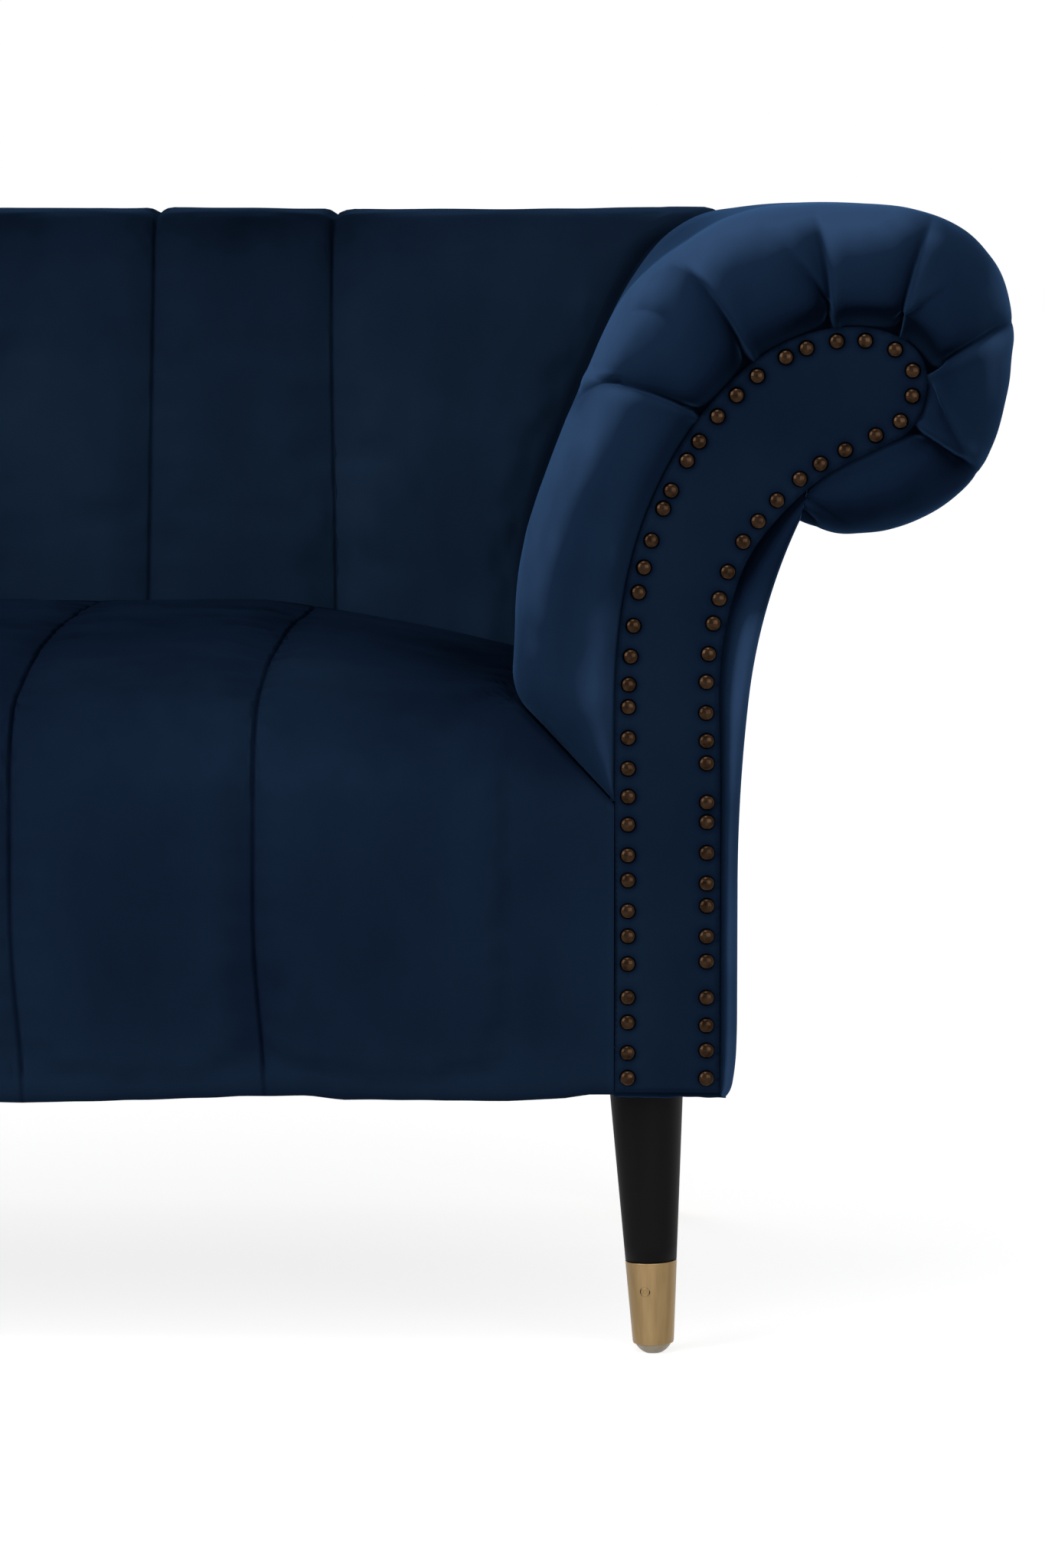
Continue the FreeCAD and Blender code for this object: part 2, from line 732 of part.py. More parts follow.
# Seat suspension


def wire_strip(path, width, thick):
    """A bent wire of square section that lies flat along a path of corner points."""
    directions = [(end - start).normalize() for start, end in zip(path, path[1:])]
    left = []
    right = []
    for index, corner in enumerate(path):
        before = directions[max(index - 1, 0)]
        after = directions[min(index, len(directions) - 1)]
        across = at(-before.y - after.y, before.x + after.x, 0)
        offset = across * (width / 2 / (1 + before.dot(after)))
        left.append(corner + offset)
        right.append(corner - offset)
    return prism(left + right[::-1], at(0, 0, thick))


def spring(x):
    """A sinuous spring: straight runs across, joined by bends at alternate sides."""
    pitch = (SPRING_REAR_Y - SPRING_FRONT_Y) / (SPRING_RUNS - 1)
    half = SPRING_WIDTH / 2
    path = []
    for run in range(SPRING_RUNS):
        side = 1 if run % 2 == 0 else -1
        y = SPRING_FRONT_Y + run * pitch
        path.append(at(x - side * (half - SPRING_BEND), y, SPRING_Z))
        path.append(at(x + side * (half - SPRING_BEND), y, SPRING_Z))
        if run < SPRING_RUNS - 1:
            path.append(at(x + side * half, y + SPRING_BEND, SPRING_Z))
            path.append(at(x + side * half, y + pitch - SPRING_BEND, SPRING_Z))
    return wire_strip(path, SPRING_WIRE, SPRING_WIRE)


def spring_clip(x, y):
    """A folded clip on the rail, closed round the end run of a spring."""
    width, depth, height = CLIP_SIZE
    body = box(x - width / 2, x + width / 2, y - depth / 2, y + depth / 2, RAIL_TOP, RAIL_TOP + height)
    half = SPRING_WIRE / 2 + CLIP_SLACK
    low = SPRING_Z - CLIP_SLACK
    return body.cut(box(x - width, x + width, y - half, y + half, low, low + 2 * half))


def suspension():
    places = [-x for x in SPRING_X] + list(SPRING_X)
    ends = (SPRING_FRONT_Y, SPRING_REAR_Y)
    sheet_rear = SPRING_REAR_Y - PAST
    sheet = box(
        -FOAM_END_X, FOAM_END_X, SPRING_FRONT_Y, sheet_rear, HESSIAN_Z, HESSIAN_Z + HESSIAN_THICK
    )
    return {
        "seat_springs": Part.makeCompound([spring(x) for x in places]),
        "spring_clips": Part.makeCompound([spring_clip(x, y) for x in places for y in ends]),
        "seat_hessian": sheet,
    }


# Legs and their fixings


def leg_places():
    """Depth of a front and a rear leg, and the way to the nearer rail."""
    front = FRONT_RAIL_Y + RAIL + LEG_SETBACK
    rear = outside_y(BASE, REAR_RAIL_FRONT) - LEG_SETBACK
    return {"front": (front, -1), "rear": (rear, 1)}


def taper(depth):
    """Radius of the leg at a distance below its top."""
    return LEG_TOP_RADIUS + (LEG_END_RADIUS - LEG_TOP_RADIUS) * depth / LEG_LENGTH


def turned(points):
    """A lathe-turned solid from (radius, depth below the leg's top) points."""
    corners = [at(radius, 0, -depth) for radius, depth in points]
    return Part.Face(Part.makePolygon(corners + corners[:1])).revolve(at(0, 0, 0), at(0, 0, 1), 360)


def glide_solid():
    """A domed plastic glide that fills the ferrule's mouth."""
    dome_start = at(GLIDE_RADIUS, 0, -LEG_LENGTH)
    dome_end = at(0, 0, -GLIDE_END)
    rise = GLIDE_END - LEG_LENGTH
    radius = (GLIDE_RADIUS**2 + rise**2) / (2 * rise)
    half_turn = math.asin(GLIDE_RADIUS / radius) / 2
    dome_middle = at(radius * math.sin(half_turn), 0, radius - GLIDE_END - radius * math.cos(half_turn))
    top = at(0, 0, -WOOD_END)
    rim = at(GLIDE_RADIUS, 0, -WOOD_END)
    edges = [line(top, rim), line(rim, dome_start), arc(dome_start, dome_middle, dome_end), line(dome_end, top)]
    return Part.Face(Part.Wire(edges)).revolve(at(0, 0, 0), at(0, 0, 1), 360)


def splayed(shape, y):
    """A shape made on the leg's own axis, leaned outwards and set under the right side of the frame."""
    leaned = shape.copy()
    leaned.rotate(at(0, 0, 0), at(0, 1, 0), -LEG_SPLAY)
    leaned.translate(at(LEG_X, y, BASE))
    return leaned


def bolt(y):
    return Part.makeCylinder(BOLT_RADIUS, BOLT_HIGH - BOLT_LOW, at(LEG_X, y, BOLT_LOW))


def tee_nut(y):
    top = BASE + BLOCK_HEIGHT
    flange = Part.makeCylinder(NUT_RADIUS, NUT_FLANGE, at(LEG_X, y, top))
    barrel = Part.makeCylinder(NUT_BARREL_RADIUS, NUT_BARREL_LENGTH, at(LEG_X, y, top - NUT_BARREL_LENGTH))
    return flange.fuse(barrel).cut(bolt(y))


def leg_block(y, side):
    """Corner block between the rails, bored for the bolt and its nut."""
    wall_x = RAIL_END_X - RAIL
    wall_y = y + side * LEG_SETBACK
    if side > 0:
        wall_y += PAST
    near = wall_y - side * BLOCK_SIDE
    middle = wall_y - side * BLOCK_SIDE / 2
    plan = [
        (wall_x, wall_y),
        (wall_x - BLOCK_SIDE, wall_y),
        (wall_x - BLOCK_SIDE, middle),
        (wall_x - BLOCK_SIDE / 2, near),
        (wall_x, near),
    ]
    block = prism([at(x, corner_y, BASE) for x, corner_y in plan], at(0, 0, BLOCK_HEIGHT))
    return block.cut(behind(REAR_RAIL_FRONT)).cut(bolt(y)).cut(tee_nut(y))


def legs():
    core_top = taper(FERRULE_START) - FERRULE_WALL
    core_end = taper(WOOD_END) - FERRULE_WALL
    wood = turned(
        [
            (0, -LEG_TRIM),
            (taper(-LEG_TRIM), -LEG_TRIM),
            (taper(FERRULE_START), FERRULE_START),
            (core_top, FERRULE_START),
            (core_end, WOOD_END),
            (0, WOOD_END),
        ]
    )
    sleeve = turned(
        [
            (taper(FERRULE_START), FERRULE_START),
            (taper(LEG_LENGTH), LEG_LENGTH),
            (taper(LEG_LENGTH) - FERRULE_WALL, LEG_LENGTH),
            (core_top, FERRULE_START),
        ]
    )
    frame_room = box(0, WIDTH, FRONT, REAR, BASE, BASE + PAST)
    floor_room = box(0, WIDTH, FRONT, REAR, -PAST, 0)
    nodes = {}
    groups = {"glides": [], "hanger_bolts": [], "tee_nuts": [], "leg_blocks": []}
    for place, (y, side) in leg_places().items():
        leg = splayed(wood, y).cut(frame_room).cut(bolt(y))
        ferrule = splayed(sleeve, y)
        glide = splayed(glide_solid(), y).cut(floor_room)
        for hand, turn_over in (("right", None), ("left", mirrored)):
            nodes[f"{place}_{hand}_leg"] = turn_over(leg) if turn_over else leg
            nodes[f"{place}_{hand}_ferrule"] = turn_over(ferrule) if turn_over else ferrule
        pieces = (glide, bolt(y), tee_nut(y), leg_block(y, side))
        for group, piece in zip(groups.values(), pieces):
            group += [piece, mirrored(piece)]
    for name, solids in groups.items():
        nodes[name] = Part.makeCompound(solids)
    return nodes


def dust_cover():
    """Thin cloth under the frame, cut out round the legs."""
    half = RAIL_END_X - RAIL / 2
    low = BASE - DUST_COVER_THICK
    sheet = box(-half, half, FRONT_RAIL_Y, outside_y(low, BACK_INSIDE + SEAM_GAP), low, BASE)
    for y, _ in leg_places().values():
        for x in (-LEG_X, LEG_X):
            sheet = sheet.cut(Part.makeCylinder(LEG_HOLE_RADIUS, PAST, at(x, y, low - PAST / 2)))
    return sheet


def both_arms():
    right = {**arm_timber(), **arm_padding(), "facing": facing(), "facing_nails": facing_nails()}
    nodes = {}
    for name, shape in right.items():
        nodes["right_" + name] = shape
        nodes["left_" + name] = mirrored(shape)
    return nodes


def main():
    os.makedirs("parts", exist_ok=True)
    nodes = {"dust_cover": dust_cover()}
    for group in (both_arms, seat, back, seat_frame, back_frame, suspension, legs):
        nodes.update(group())
    for name, shape in nodes.items():
        shape.exportStep(f"parts/{name}.step")
        print(f"{name}: {len(shape.Solids)} solids, {shape.Volume / 1000:.1f} cm3, valid {shape.isValid()}")


main()
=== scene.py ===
"""Looks of a two-seater sofa with scroll arms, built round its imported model.

Shapes are in millimetres in the model's own frame, +X to the viewer's right, +Y to the back and +Z up, and
become metres when a mesh is made.
"""

import json
import math

import bmesh
import bpy
import numpy as np
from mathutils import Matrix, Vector, noise
from mathutils.geometry import delaunay_2d_cdt


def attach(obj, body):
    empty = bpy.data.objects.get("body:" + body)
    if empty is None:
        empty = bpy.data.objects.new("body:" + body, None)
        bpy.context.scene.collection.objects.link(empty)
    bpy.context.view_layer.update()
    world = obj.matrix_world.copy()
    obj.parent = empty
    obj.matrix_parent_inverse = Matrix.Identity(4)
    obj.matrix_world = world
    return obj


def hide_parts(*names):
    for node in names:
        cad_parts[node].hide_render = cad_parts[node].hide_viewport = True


MM = 0.001
HANDS = ("right", "left")
LEGS = [(hand, end) for end in ("front", "rear") for hand in HANDS]
QUARTER = math.pi / 2.0

# Overall size
BASE = 187.0
HEIGHT = 790.0
REAR = 395.0
INNER_ARM = 504.0
RAKE = math.tan(math.radians(8.0))
FACING_FRONT = -391.5
ARM_FRONT = -383.5

# Scroll outlines, clockwise seen from the front: place across the arm and above the frame's underside, and
# heading
ARM_LINE = (
    (69, 201, 135),
    (10, 260, 135),
    (0, 323, 90),
    (40, 469, 67),
    (88, 565, 54),
    (211, 603, 0),
    (304, 584, -34),
    (336, 520, -90),
    (288, 397, -147),
    (226, 381, -180),
    (193, 391, -207),
)
OUTSIDE_LINE = ((193, 391, -115), (152, 143, -90), (152, 57, -90), (149, 9, -100), (143, -1, -150))
FACING_LINE = (
    (69, 3.5, 90),
    (69, 263, 90),
    (96, 410, 66),
    (156, 493, 41),
    (229, 520.6, 0),
    (277.3, 485, -90),
    (257, 445, -154),
    (197, 411, -139),
    (151, 348, -108),
    (140, 183, -90),
    (140, 3.5, -90),
)

# Points of the arm's outline and the points of the facing's edge that the cloth runs to from there
RING_PAIRS = (
    ((69, 201), (69, 201)),
    ((0, 323), (70, 300)),
    ((50, 488), (124, 465)),
    ((100, 578), (157, 497)),
    ((197, 602), (211, 520)),
    ((275, 597), (257, 514)),
    ((336, 524), (277, 488)),
    ((310, 420), (265, 450)),
    ((193, 391), (197, 411)),
)
OUTSIDE_PAIRS = (((193, 391), (197, 411)), ((152, 143), (140, 148)), ((143, -1), (140, 3.5)))
RING_EVENING = 200

# Fronts of the arm and of the strip beside the facing: the rise of the cloth, and how far it rolls over to
# the side and to the rear, each as a most and as a share of the width that is there
ARM_FRONT_FORM = ((15.0, 0.2), (70.0, 0.72), (58.0, 0.8))
STRIP_FRONT_FORM = ((5.0, 0.42), (7.0, 0.7), (10.0, 0.9))
FRONT_TUCK = 2.0
UNDER_FACING = 4.0
SHARE_BEHIND = 1.2
BODY_ROWS = 30
ARM_GRID = (640, (46, 36))
STRIP_GRID = (150, (12, 10))
BOARD_FRONT = -381.0
BOARD_INSET = 32.0
BOARD_SOFTENING = 4.0
REAR_ROUND = 6.0
BEHIND_BACK = 14.0
ARM_SHELL = 3.0
OUTSIDE_ARM_SHELL = 2.0

# The front is drawn in above the arm's inner side, so that the fuller roll behind it shows
DRAWN_IN = 10.5
DRAWN_IN_MIDDLE = (112, 581)
DRAWN_IN_REACH = 44.0
DRAWN_IN_Y = (-338.0, -272.0)

# Pleats: end at the facing, end near the outline, bow, depth, the side on which the fold lies open, and how
# much of the depth is left at either end
PLEATS = (
    ((124, 463), (58, 486), -3.0, 9.0, -1, (1.0, 0.75)),
    ((62, 486), (37, 462), -5.0, 6.0, 1, (1.0, 0.15)),
    ((158, 498), (117, 558), -3.0, 10.0, 1, (1.0, 0.35)),
    ((128, 549), (104, 561), -2.0, 4.0, 1, (0.5, 0.3)),
    ((212, 521), (203, 590), -2.0, 10.0, 1, (1.0, 0.5)),
    ((209, 538), (182, 572), -2.0, 6.0, 1, (0.9, 0.2)),
    ((257, 516), (277, 586), 2.2, 11.0, 1, (1.0, 0.6)),
    ((262, 527), (292, 548), 0.0, 5.0, -1, (0.9, 0.1)),
    ((278, 491), (331, 521), 1.0, 9.0, 1, (1.0, 0.7)),
    ((270, 452), (307, 427), 0.0, 8.0, -1, (1.0, 0.9)),
    ((284, 471), (309, 425), -1.5, 6.5, -1, (0.5, 0.9)),
    ((186, 402), (205, 388), 1.0, 4.5, 1, (1.0, 0.5)),
    ((194, 408), (226, 391), -1.0, 4.0, 1, (1.0, 0.1)),
    ((107, 522), (82, 532), -4.0, 2.4, -1, (0.3, 0.7)),
)
PLEAT_SHARP = 1.6
PLEAT_SOFT = 9.0
PLEAT_CREASE = 2.4
PLEAT_LIP = 0.26
PLEAT_FULL = 9.0
LIP_PLACE = 5.0
LIP_REACH = 5.0
PUFF = 3.0

# Cloth tacked round the foot of the arm's front: depth, height and share of its uneven pull
WRAP_SECTION = (
    (-382.6, 198.0, 0.0),
    (-382.8, 190.0, 0.0),
    (-382.2, 187.4, 0.4),
    (-380.0, 185.9, 1.0),
    (-364.2, 185.7, 0.0),
)
WRAP_PULL = 0.9
WRAP_END_X = 648.5

# Seat
SEAT_SEAMS = (-330.0, -165.0, 0.0, 165.0, 330.0)
SEAT_FRONT = -388.0
SEAT_ROUND = 65.0
SEAT_SIDE_ROUND = 7.0
SEAT_TOPS = (458.0, 500.0, 487.0)
SEAT_SIDE_TOPS = (451.2, 454.0, 449.0)
SEAT_CROWN_REACH = 170.0
SEAT_LEVEL_X = 300.0
SEAT_FALL_POWER = 1.2
SEAT_CREST_X = 412.0
SEAT_FALL_X = 460.0
SEAT_SIDE_X = 508.0
SEAT_END_X = 572.6
SEAT_HEM = (
    (0, 184.5),
    (165, 180.5),
    (246, 182.6),
    (313, 185.6),
    (360, 186.2),
    (384, 183.6),
    (501, 183.2),
    (540, 185.2),
    (561, 188.5),
    (573, 188.5),
)
HEM_ROUND = 7.0
HEM_WRAP_Z = 185.2
HEM_PULL = 0.5
SEAT_BELLY = 4.0
SEAT_BACK_GAP = 2.0
SEAT_CHANNEL = (5.0, 4.0)
SEAT_REAR_CHANNEL = 0.45
SEAM_DRIFT = 7.0
SEAM_SPREAD = (-1.8, 5.0)
RAIL_FRONT = -363.6
DECK = 308.0
ARM_FOOT_SUM = 961.0

# Back
BACK_SEAMS = (-345.0, -207.0, -69.0, 69.0, 207.0, 345.0)
BACK_FOOT_Y = 145.0
BACK_FOOT_Z = 440.0
BACK_SLOPE = 0.24
BACK_LOW = 322.0
BACK_SHOULDER_Z = 748.0
BACK_ROUND = 30.0
BACK_EDGE = 783.0
BACK_TOP = 785.0
BACK_REAR_EDGE_Z = 771.0
BACK_CREST_X = 427.0
BACK_END_X = 600.0
BACK_CHANNEL = (6.5, 5.0)
BACK_SEAM_DRIFT = 7.0
BACK_SIDE_TUCK = 7.0
BACK_TUCK_REACH = 9.0
BACK_RAIL_Z = 753.0
BACK_FRAME = (7.0, 57.0)
TOP_NOTCH = 4.0
TOP_NOTCH_WIDTH = 5.5

# Channels: spacing of the cloth's points, closer beside a seam, and the stitched seam
COVER_STEP = 5.5
SEAM_OFFSETS = (0.8, 1.7, 2.6, 3.7, 5.0, 6.5)
SEAM_CLEAR = 7.0
STITCH_DEPTH = 2.0
STITCH_WIDTH = 1.6
PUCKER_REACH = 13.0
PUCKER_STRETCH = (0.45, 1.0, 1.0)

# Settling of the padded covers as cloth: frames, pressure from inside, the share by which the cloth is cut
# fuller, how far a point may move, and how much smaller the cover is before
SETTLE_FRAMES = 15
SETTLE_PRESSURE = 4.0
SETTLE_FULLNESS = 0.02
SETTLE_CAP = 5.0
SETTLE_START = 3.0
SETTLE_FULL_AT = 40.0
SEAM_HELD = 2.0

# Unevenness of the covers: how far it stands out, the size of its waves, and a seed
ARM_WAVES = (1.3, 70.0, 1)
ARM_RIPPLES = (0.7, 22.0, 2)
BOARD_WAVES = (0.35, 26.0, 5)
SEAT_PUCKERS = (1.1, 13.0, 11)
SEAT_WAVES = (2.4, 130.0, 12)
SEAT_RIPPLES = (0.8, 45.0, 13)
BACK_PUCKERS = (1.0, 13.0, 21)
BACK_WAVES = (2.0, 120.0, 22)
BACK_RIPPLES = (0.6, 40.0, 23)
OUTSIDE_BACK_WAVES = (0.8, 160.0, 31)
DUST_WAVES = (1.2, 90.0, 41)
SEED_STEP = (7.3, 3.1, 5.7)

# Boards, the outside back and the underside
BOARD_EDGE = 3.4
BOARD_CROWN = 1.4
BOARD_CROWN_REACH = 34.0
BOARD_STEPS = (2.2, 2.6)
REAR_PANEL = 6.0
OUTSIDE_BACK_X = 656.0
OUTSIDE_BACK_Z = 770.0
OUTSIDE_BACK_SHELL = 1.2
TURNED_IN = 8.0
DUST_X = 635.5
DUST_Y = (-363.0, 303.5)
DUST_SAG = 3.0
DUST_STEP = 14.0
DUST_SHELL = 0.6

# Nails
NAIL_RADIUS = 5.6
NAIL_RISE = 3.6
NAIL_SUNK = 0.6
NAIL_SIDES = 20
NAIL_RINGS = 6
NAIL_TILT = 0.05
NAIL_DIMPLE = (1.3, 8.0)

# Legs
LEG_HOLE = 27.0
LEG_X = 594.0
LEG_Y = {"front": -326.0, "rear": 240.694}
LEG_SPLAY = math.radians(1.7)
LEG_TOP_RADIUS = 25.5
LEG_END_RADIUS = 14.0
LEG_LENGTH = 180.0
FERRULE_START = 122.0
FERRULE_RISE = 0.15
FERRULE_MOUTH = LEG_LENGTH - 4.0
GLIDE_RADIUS = 12.5
GLIDE_END = 188.0
SCREW_DEPTH = 142.0
SCREW_RADIUS = 3.05
SCREW_TURN = math.radians(16.0)
SCREW_CROSS = (2.3, 0.5)
ROUND_SIDES = 48

# Camera, found from the lines that run to the back and the horizon
CAMERA_PLACE = (627.0, -4290.0, 787.0)
PHOTO_SIZE = (1365.0, 2048.0)
VANISHING_PIXEL = (909.0, 270.0)
FOCAL_PIXELS = 7605.0
SENSOR = 36.0

# Lamps: place, size and power, all aimed at one point, in metres and watts
LAMPS = {
    "key": ((-3.4, -3.1, 2.2), (3.0, 3.0), 118.0),
    "fill": ((2.4, -4.1, 1.3), (3.2, 2.4), 58.0),
    "top": ((0.1, -2.0, 3.6), (1.4, 1.0), 26.0),
    "behind": ((-1.5, 3.6, 2.2), (2.5, 2.0), 26.0),
}
LAMP_TARGET = (0.1, 0.0, 0.5)

# Floor, from its middle to a side
FLOOR_REACH = 40000.0

# How far painted shade darkens the velvet in a fold and a painted highlight lightens it on its lip, and the
# velvet's deepest colour, which painted shade reaches, as a share of the dark one
VALLEY_PAINTED_SHADE = 0.6
LIP_PAINTED_LIGHT = 0.12
DEEP_SHARE = 0.3

# Painted light and shade on the arm: the ways to which surfaces get a painted highlight, up to the left and
# along the outer edge, how much it lightens there, and how much painted shade darkens it where it is drawn
# in, under the roll and at the facing
LIT_WAY = (-0.62, -0.1, 0.78)
RIM_WAY = (0.95, -0.1, -0.3)
ROLL_LIGHT = 0.5
RIM_LIGHT = 0.36
STRIP_LIGHT = 0.42
DRAWN_IN_SHADE = 0.36
UNDER_SHADE = 0.5
FACING_SHADE = 0.36

# Where the painted light and shade on the arm change: above the frame's underside, across the arm and behind
# its front
ROLL_UP = (400.0, 520.0)
SIDE_UP = (255.0, 350.0)
HEAD_UP = (330.0, 420.0)
INNER_SIDE = (210.0, 130.0)
UNDER_SIDE = (150.0, 240.0)
RIM_SIDE = (190.0, 270.0)
FRONT_BEHIND = (75.0, 30.0)
RIM_BEHIND = (130.0, 30.0)
LIGHT_BEHIND = (200.0, 15.0)
SHADE_BEHIND = ((42.0, 75.0), (360.0, 90.0))

# Painted shade on the boards and along the seams: how much it darkens, and over what reach
BOARD_RIM_SHADE = 0.25
NAIL_SHADE = (0.3, 7.5)
SEAM_SHADES = ((0.3, 1.5), (0.05, 20.0))

# Painted light and shade on the seat: painted light round the front edge and at the hem, painted shade
# towards the crease, beside the arm and below it
SEAT_EDGE_LIGHT = 0.08
HEM_LIGHT = 0.12
SEAT_REAR_SHADE = 0.2
SEAT_SIDE_SHADE = 0.12
SEAT_ARM_SHADE = 0.18

# Painted light and shade on the back: painted light low down and beside the arm, painted shade at the arm's
# edge, high up and over the top
BACK_LIGHT = 0.14
BACK_SIDE_LIGHT = 0.2
BACK_EDGE_SHADE = 0.3
BACK_HIGH_SHADE = 0.2
BACK_TOP_SHADE = 0.2

# Noise textures of the materials: scale, detail, stretch and roughness
EVENLY = (1.0, 1.0, 1.0)
VELVET_PATCHES = (5.0, 4.0, (1.0, 1.0, 0.6), 0.6)
VELVET_PILE = (1500.0, 2.0)
VELVET_STREAKS = (90.0, 3.0, (1.0, 1.0, 0.35))
BRUSH_MARKS = (90.0, 4.0, (1.0, 1.0, 0.06), 0.6)
WOOD_GRAIN = (55.0, 5.0, (1.0, 1.0, 0.06), 0.6)
BRONZE_WEAR = (240.0, 4.0)

# Colour of the velvet's sheen, and colours of the metals and the lacquer along their noise
VELVET_TINT = (0.17, 0.44, 1.0, 1.0)
BRONZE = ((0.3, (0.013, 0.0072, 0.0042)), (0.75, (0.041, 0.023, 0.0132)))
# The brass's darkest colour is reached where painted shade darkens the screws' recesses
BRASS = ((0.0, (0.016, 0.009, 0.004)), (0.25, (0.185, 0.122, 0.056)), (0.75, (0.36, 0.245, 0.12)))
LACQUER = ((0.3, (0.0030, 0.0030, 0.0030)), (0.8, (0.0065, 0.0063, 0.0060)))


def smoothstep(low, high, value):
    share = np.clip((value - low) / (high - low), 0.0, 1.0)
    return share * share * (3.0 - 2.0 * share)


def bell(value, width):
    """1 at zero, with a soft fall to both sides."""
    return np.exp(-((value / width) ** 2))


# Outlines in the plane of the arm's front, as complex numbers X + iZ


def heading(degrees):
    return complex(math.cos(math.radians(degrees)), math.sin(math.radians(degrees)))


def dot(first, second):
    return (first * second.conjugate()).real


def arc(start, leaving, end, count=60):
    """Points of the arc that leaves start in a direction and ends at end."""
    chord = end - start
    shares = np.linspace(0.0, 1.0, count)
    turn = np.angle(chord / leaving)
    if abs(turn) < 1e-6:
        return start + chord * shares
    radius = abs(chord) / (2.0 * math.sin(turn))
    return start + radius * leaving * (np.exp(2j * turn * shares) - 1.0) / 1j


def biarc(start, leaving, end, arriving):
    """Points of two arcs that join two points with given directions."""
    chord = end - start
    along = dot(chord, leaving + arriving)
    spread = 2.0 * (1.0 - dot(leaving, arriving))
    if spread < 1e-9:
        reach = abs(chord) ** 2 / (2.0 * along)
    else:
        reach = (math.sqrt(along * along + spread * abs(chord) ** 2) - along) / spread
    joint = (start + end + (leaving - arriving) * reach) / 2.0
    first = arc(start, leaving, joint)
    second = arc(end, -arriving, joint)[::-1]
    return np.concatenate([first[:-1], second[:-1]])


def on_arm(across, up):
    return complex(INNER_ARM + across, BASE + up)


def outline(stations):
    """Finely spaced points through stations of (across, up, heading)."""
    runs = []
    for here, there in zip(stations, stations[1:]):
        runs.append(biarc(on_arm(*here[:2]), heading(here[2]), on_arm(*there[:2]), heading(there[2])))
    runs.append(np.array([on_arm(*stations[-1][:2])]))
    return np.concatenate(runs)


def lengths(line):
    return np.concatenate([[0.0], np.cumsum(np.abs(np.diff(line)))])


def at_lengths(line, positions):
    along = lengths(line)
    return np.interp(positions, along, line.real) + 1j * np.interp(positions, along, line.imag)


def length_at(line, point):
    return lengths(line)[np.argmin(np.abs(line - on_arm(*point)))]


def outward_of(line):
    """Unit directions away from the inner side of a clockwise line."""
    tangent = np.gradient(line)
    return 1j * tangent / np.abs(tangent)


def outside_y(z, forward=0.0):
    """Depth of the raked outside of the back at height z, or of a plane further forward."""
    return REAR - (HEIGHT - z) * RAKE - forward * math.hypot(1.0, RAKE)


# Meshes


def grid_normals(points):
    normals = np.cross(np.gradient(points, axis=0), np.gradient(points, axis=1))
    return normals / np.maximum(np.linalg.norm(normals, axis=2, keepdims=True), 1e-9)


def soften(points, passes):
    """Evens out kinks along the first axis of points and keeps its ends."""
    points = points.copy()
    for _ in range(passes):
        points[1:-1] = 0.5 * points[1:-1] + 0.25 * (points[2:] + points[:-2])
    return points


def unevenness(points, amount, size, seed):
    """Smooth noise at each point of a grid, up to an amount to both sides."""
    flat = points.reshape(-1, 3) / size + seed * np.array(SEED_STEP)
    values = [noise.noise(Vector(point)) for point in flat]
    return amount * np.array(values).reshape(points.shape[:-1])


def grid_faces(rows, columns, wrap=False):
    """Quads of a grid of points, joined end to end along its columns where it wraps."""
    faces = []
    for row in range(rows - 1):
        for column in range(columns if wrap else columns - 1):
            following = (column + 1) % columns
            here = row * columns
            there = here + columns
            faces.append((here + column, here + following, there + following, there + column))
    return faces


def ring_edges(count, start=0):
    return [(start + index, start + (index + 1) % count) for index in range(count)]


def flip(faces):
    return [tuple(reversed(face)) for face in faces]


def moved(faces, count):
    """Faces of a mesh that is added behind the points of another one."""
    return [tuple(corner + count for corner in face) for face in faces]


def both_hands(points, faces):
    """A mesh of the right-hand side, and its mirror image for the left one."""
    mirrored = points * np.array([-1.0, 1.0, 1.0])
    return zip(HANDS, (points, mirrored), (faces, flip(faces)))


def new_mesh(name, points, faces):
    mesh = bpy.data.meshes.new(name)
    mesh.from_pydata([tuple(point) for point in np.asarray(points) * MM], [], faces)
    return mesh


def new_object(name, data):
    shown = bpy.data.objects.new(name, data)
    scene.collection.objects.link(shown)
    return shown


def make_piece(name, points, faces, material, slot, replaced=(), painted_shading=None, shell=0.0):
    """A piece of the sofa, with painted light and shade at each point where it has them, and a thickness
    where it has one.
    """
    mesh = new_mesh(name, points, faces)
    build = bmesh.new()
    build.from_mesh(mesh)
    # Painted light and shade, kept on each point for the material to add to its colour
    if painted_shading is not None:
        layer = build.verts.layers.float.new("painted_shading")
        for vert, value in zip(build.verts, painted_shading):
            vert[layer] = value
    bmesh.ops.remove_doubles(build, verts=build.verts, dist=0.02 * MM)
    bmesh.ops.dissolve_degenerate(build, edges=build.edges, dist=0.005 * MM)
    build.to_mesh(mesh)
    build.free()
    mesh.polygons.foreach_set("use_smooth", [True] * len(mesh.polygons))
    mesh.materials.append(material)
    piece = new_object(name, mesh)
    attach(piece, "root")
    if replaced:
        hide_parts(*replaced)
    if shell:
        solid = piece.modifiers.new("shell", "SOLIDIFY")
        solid.thickness = shell * MM
        solid.offset = -1.0
        solid.use_even_offset = False
    return piece


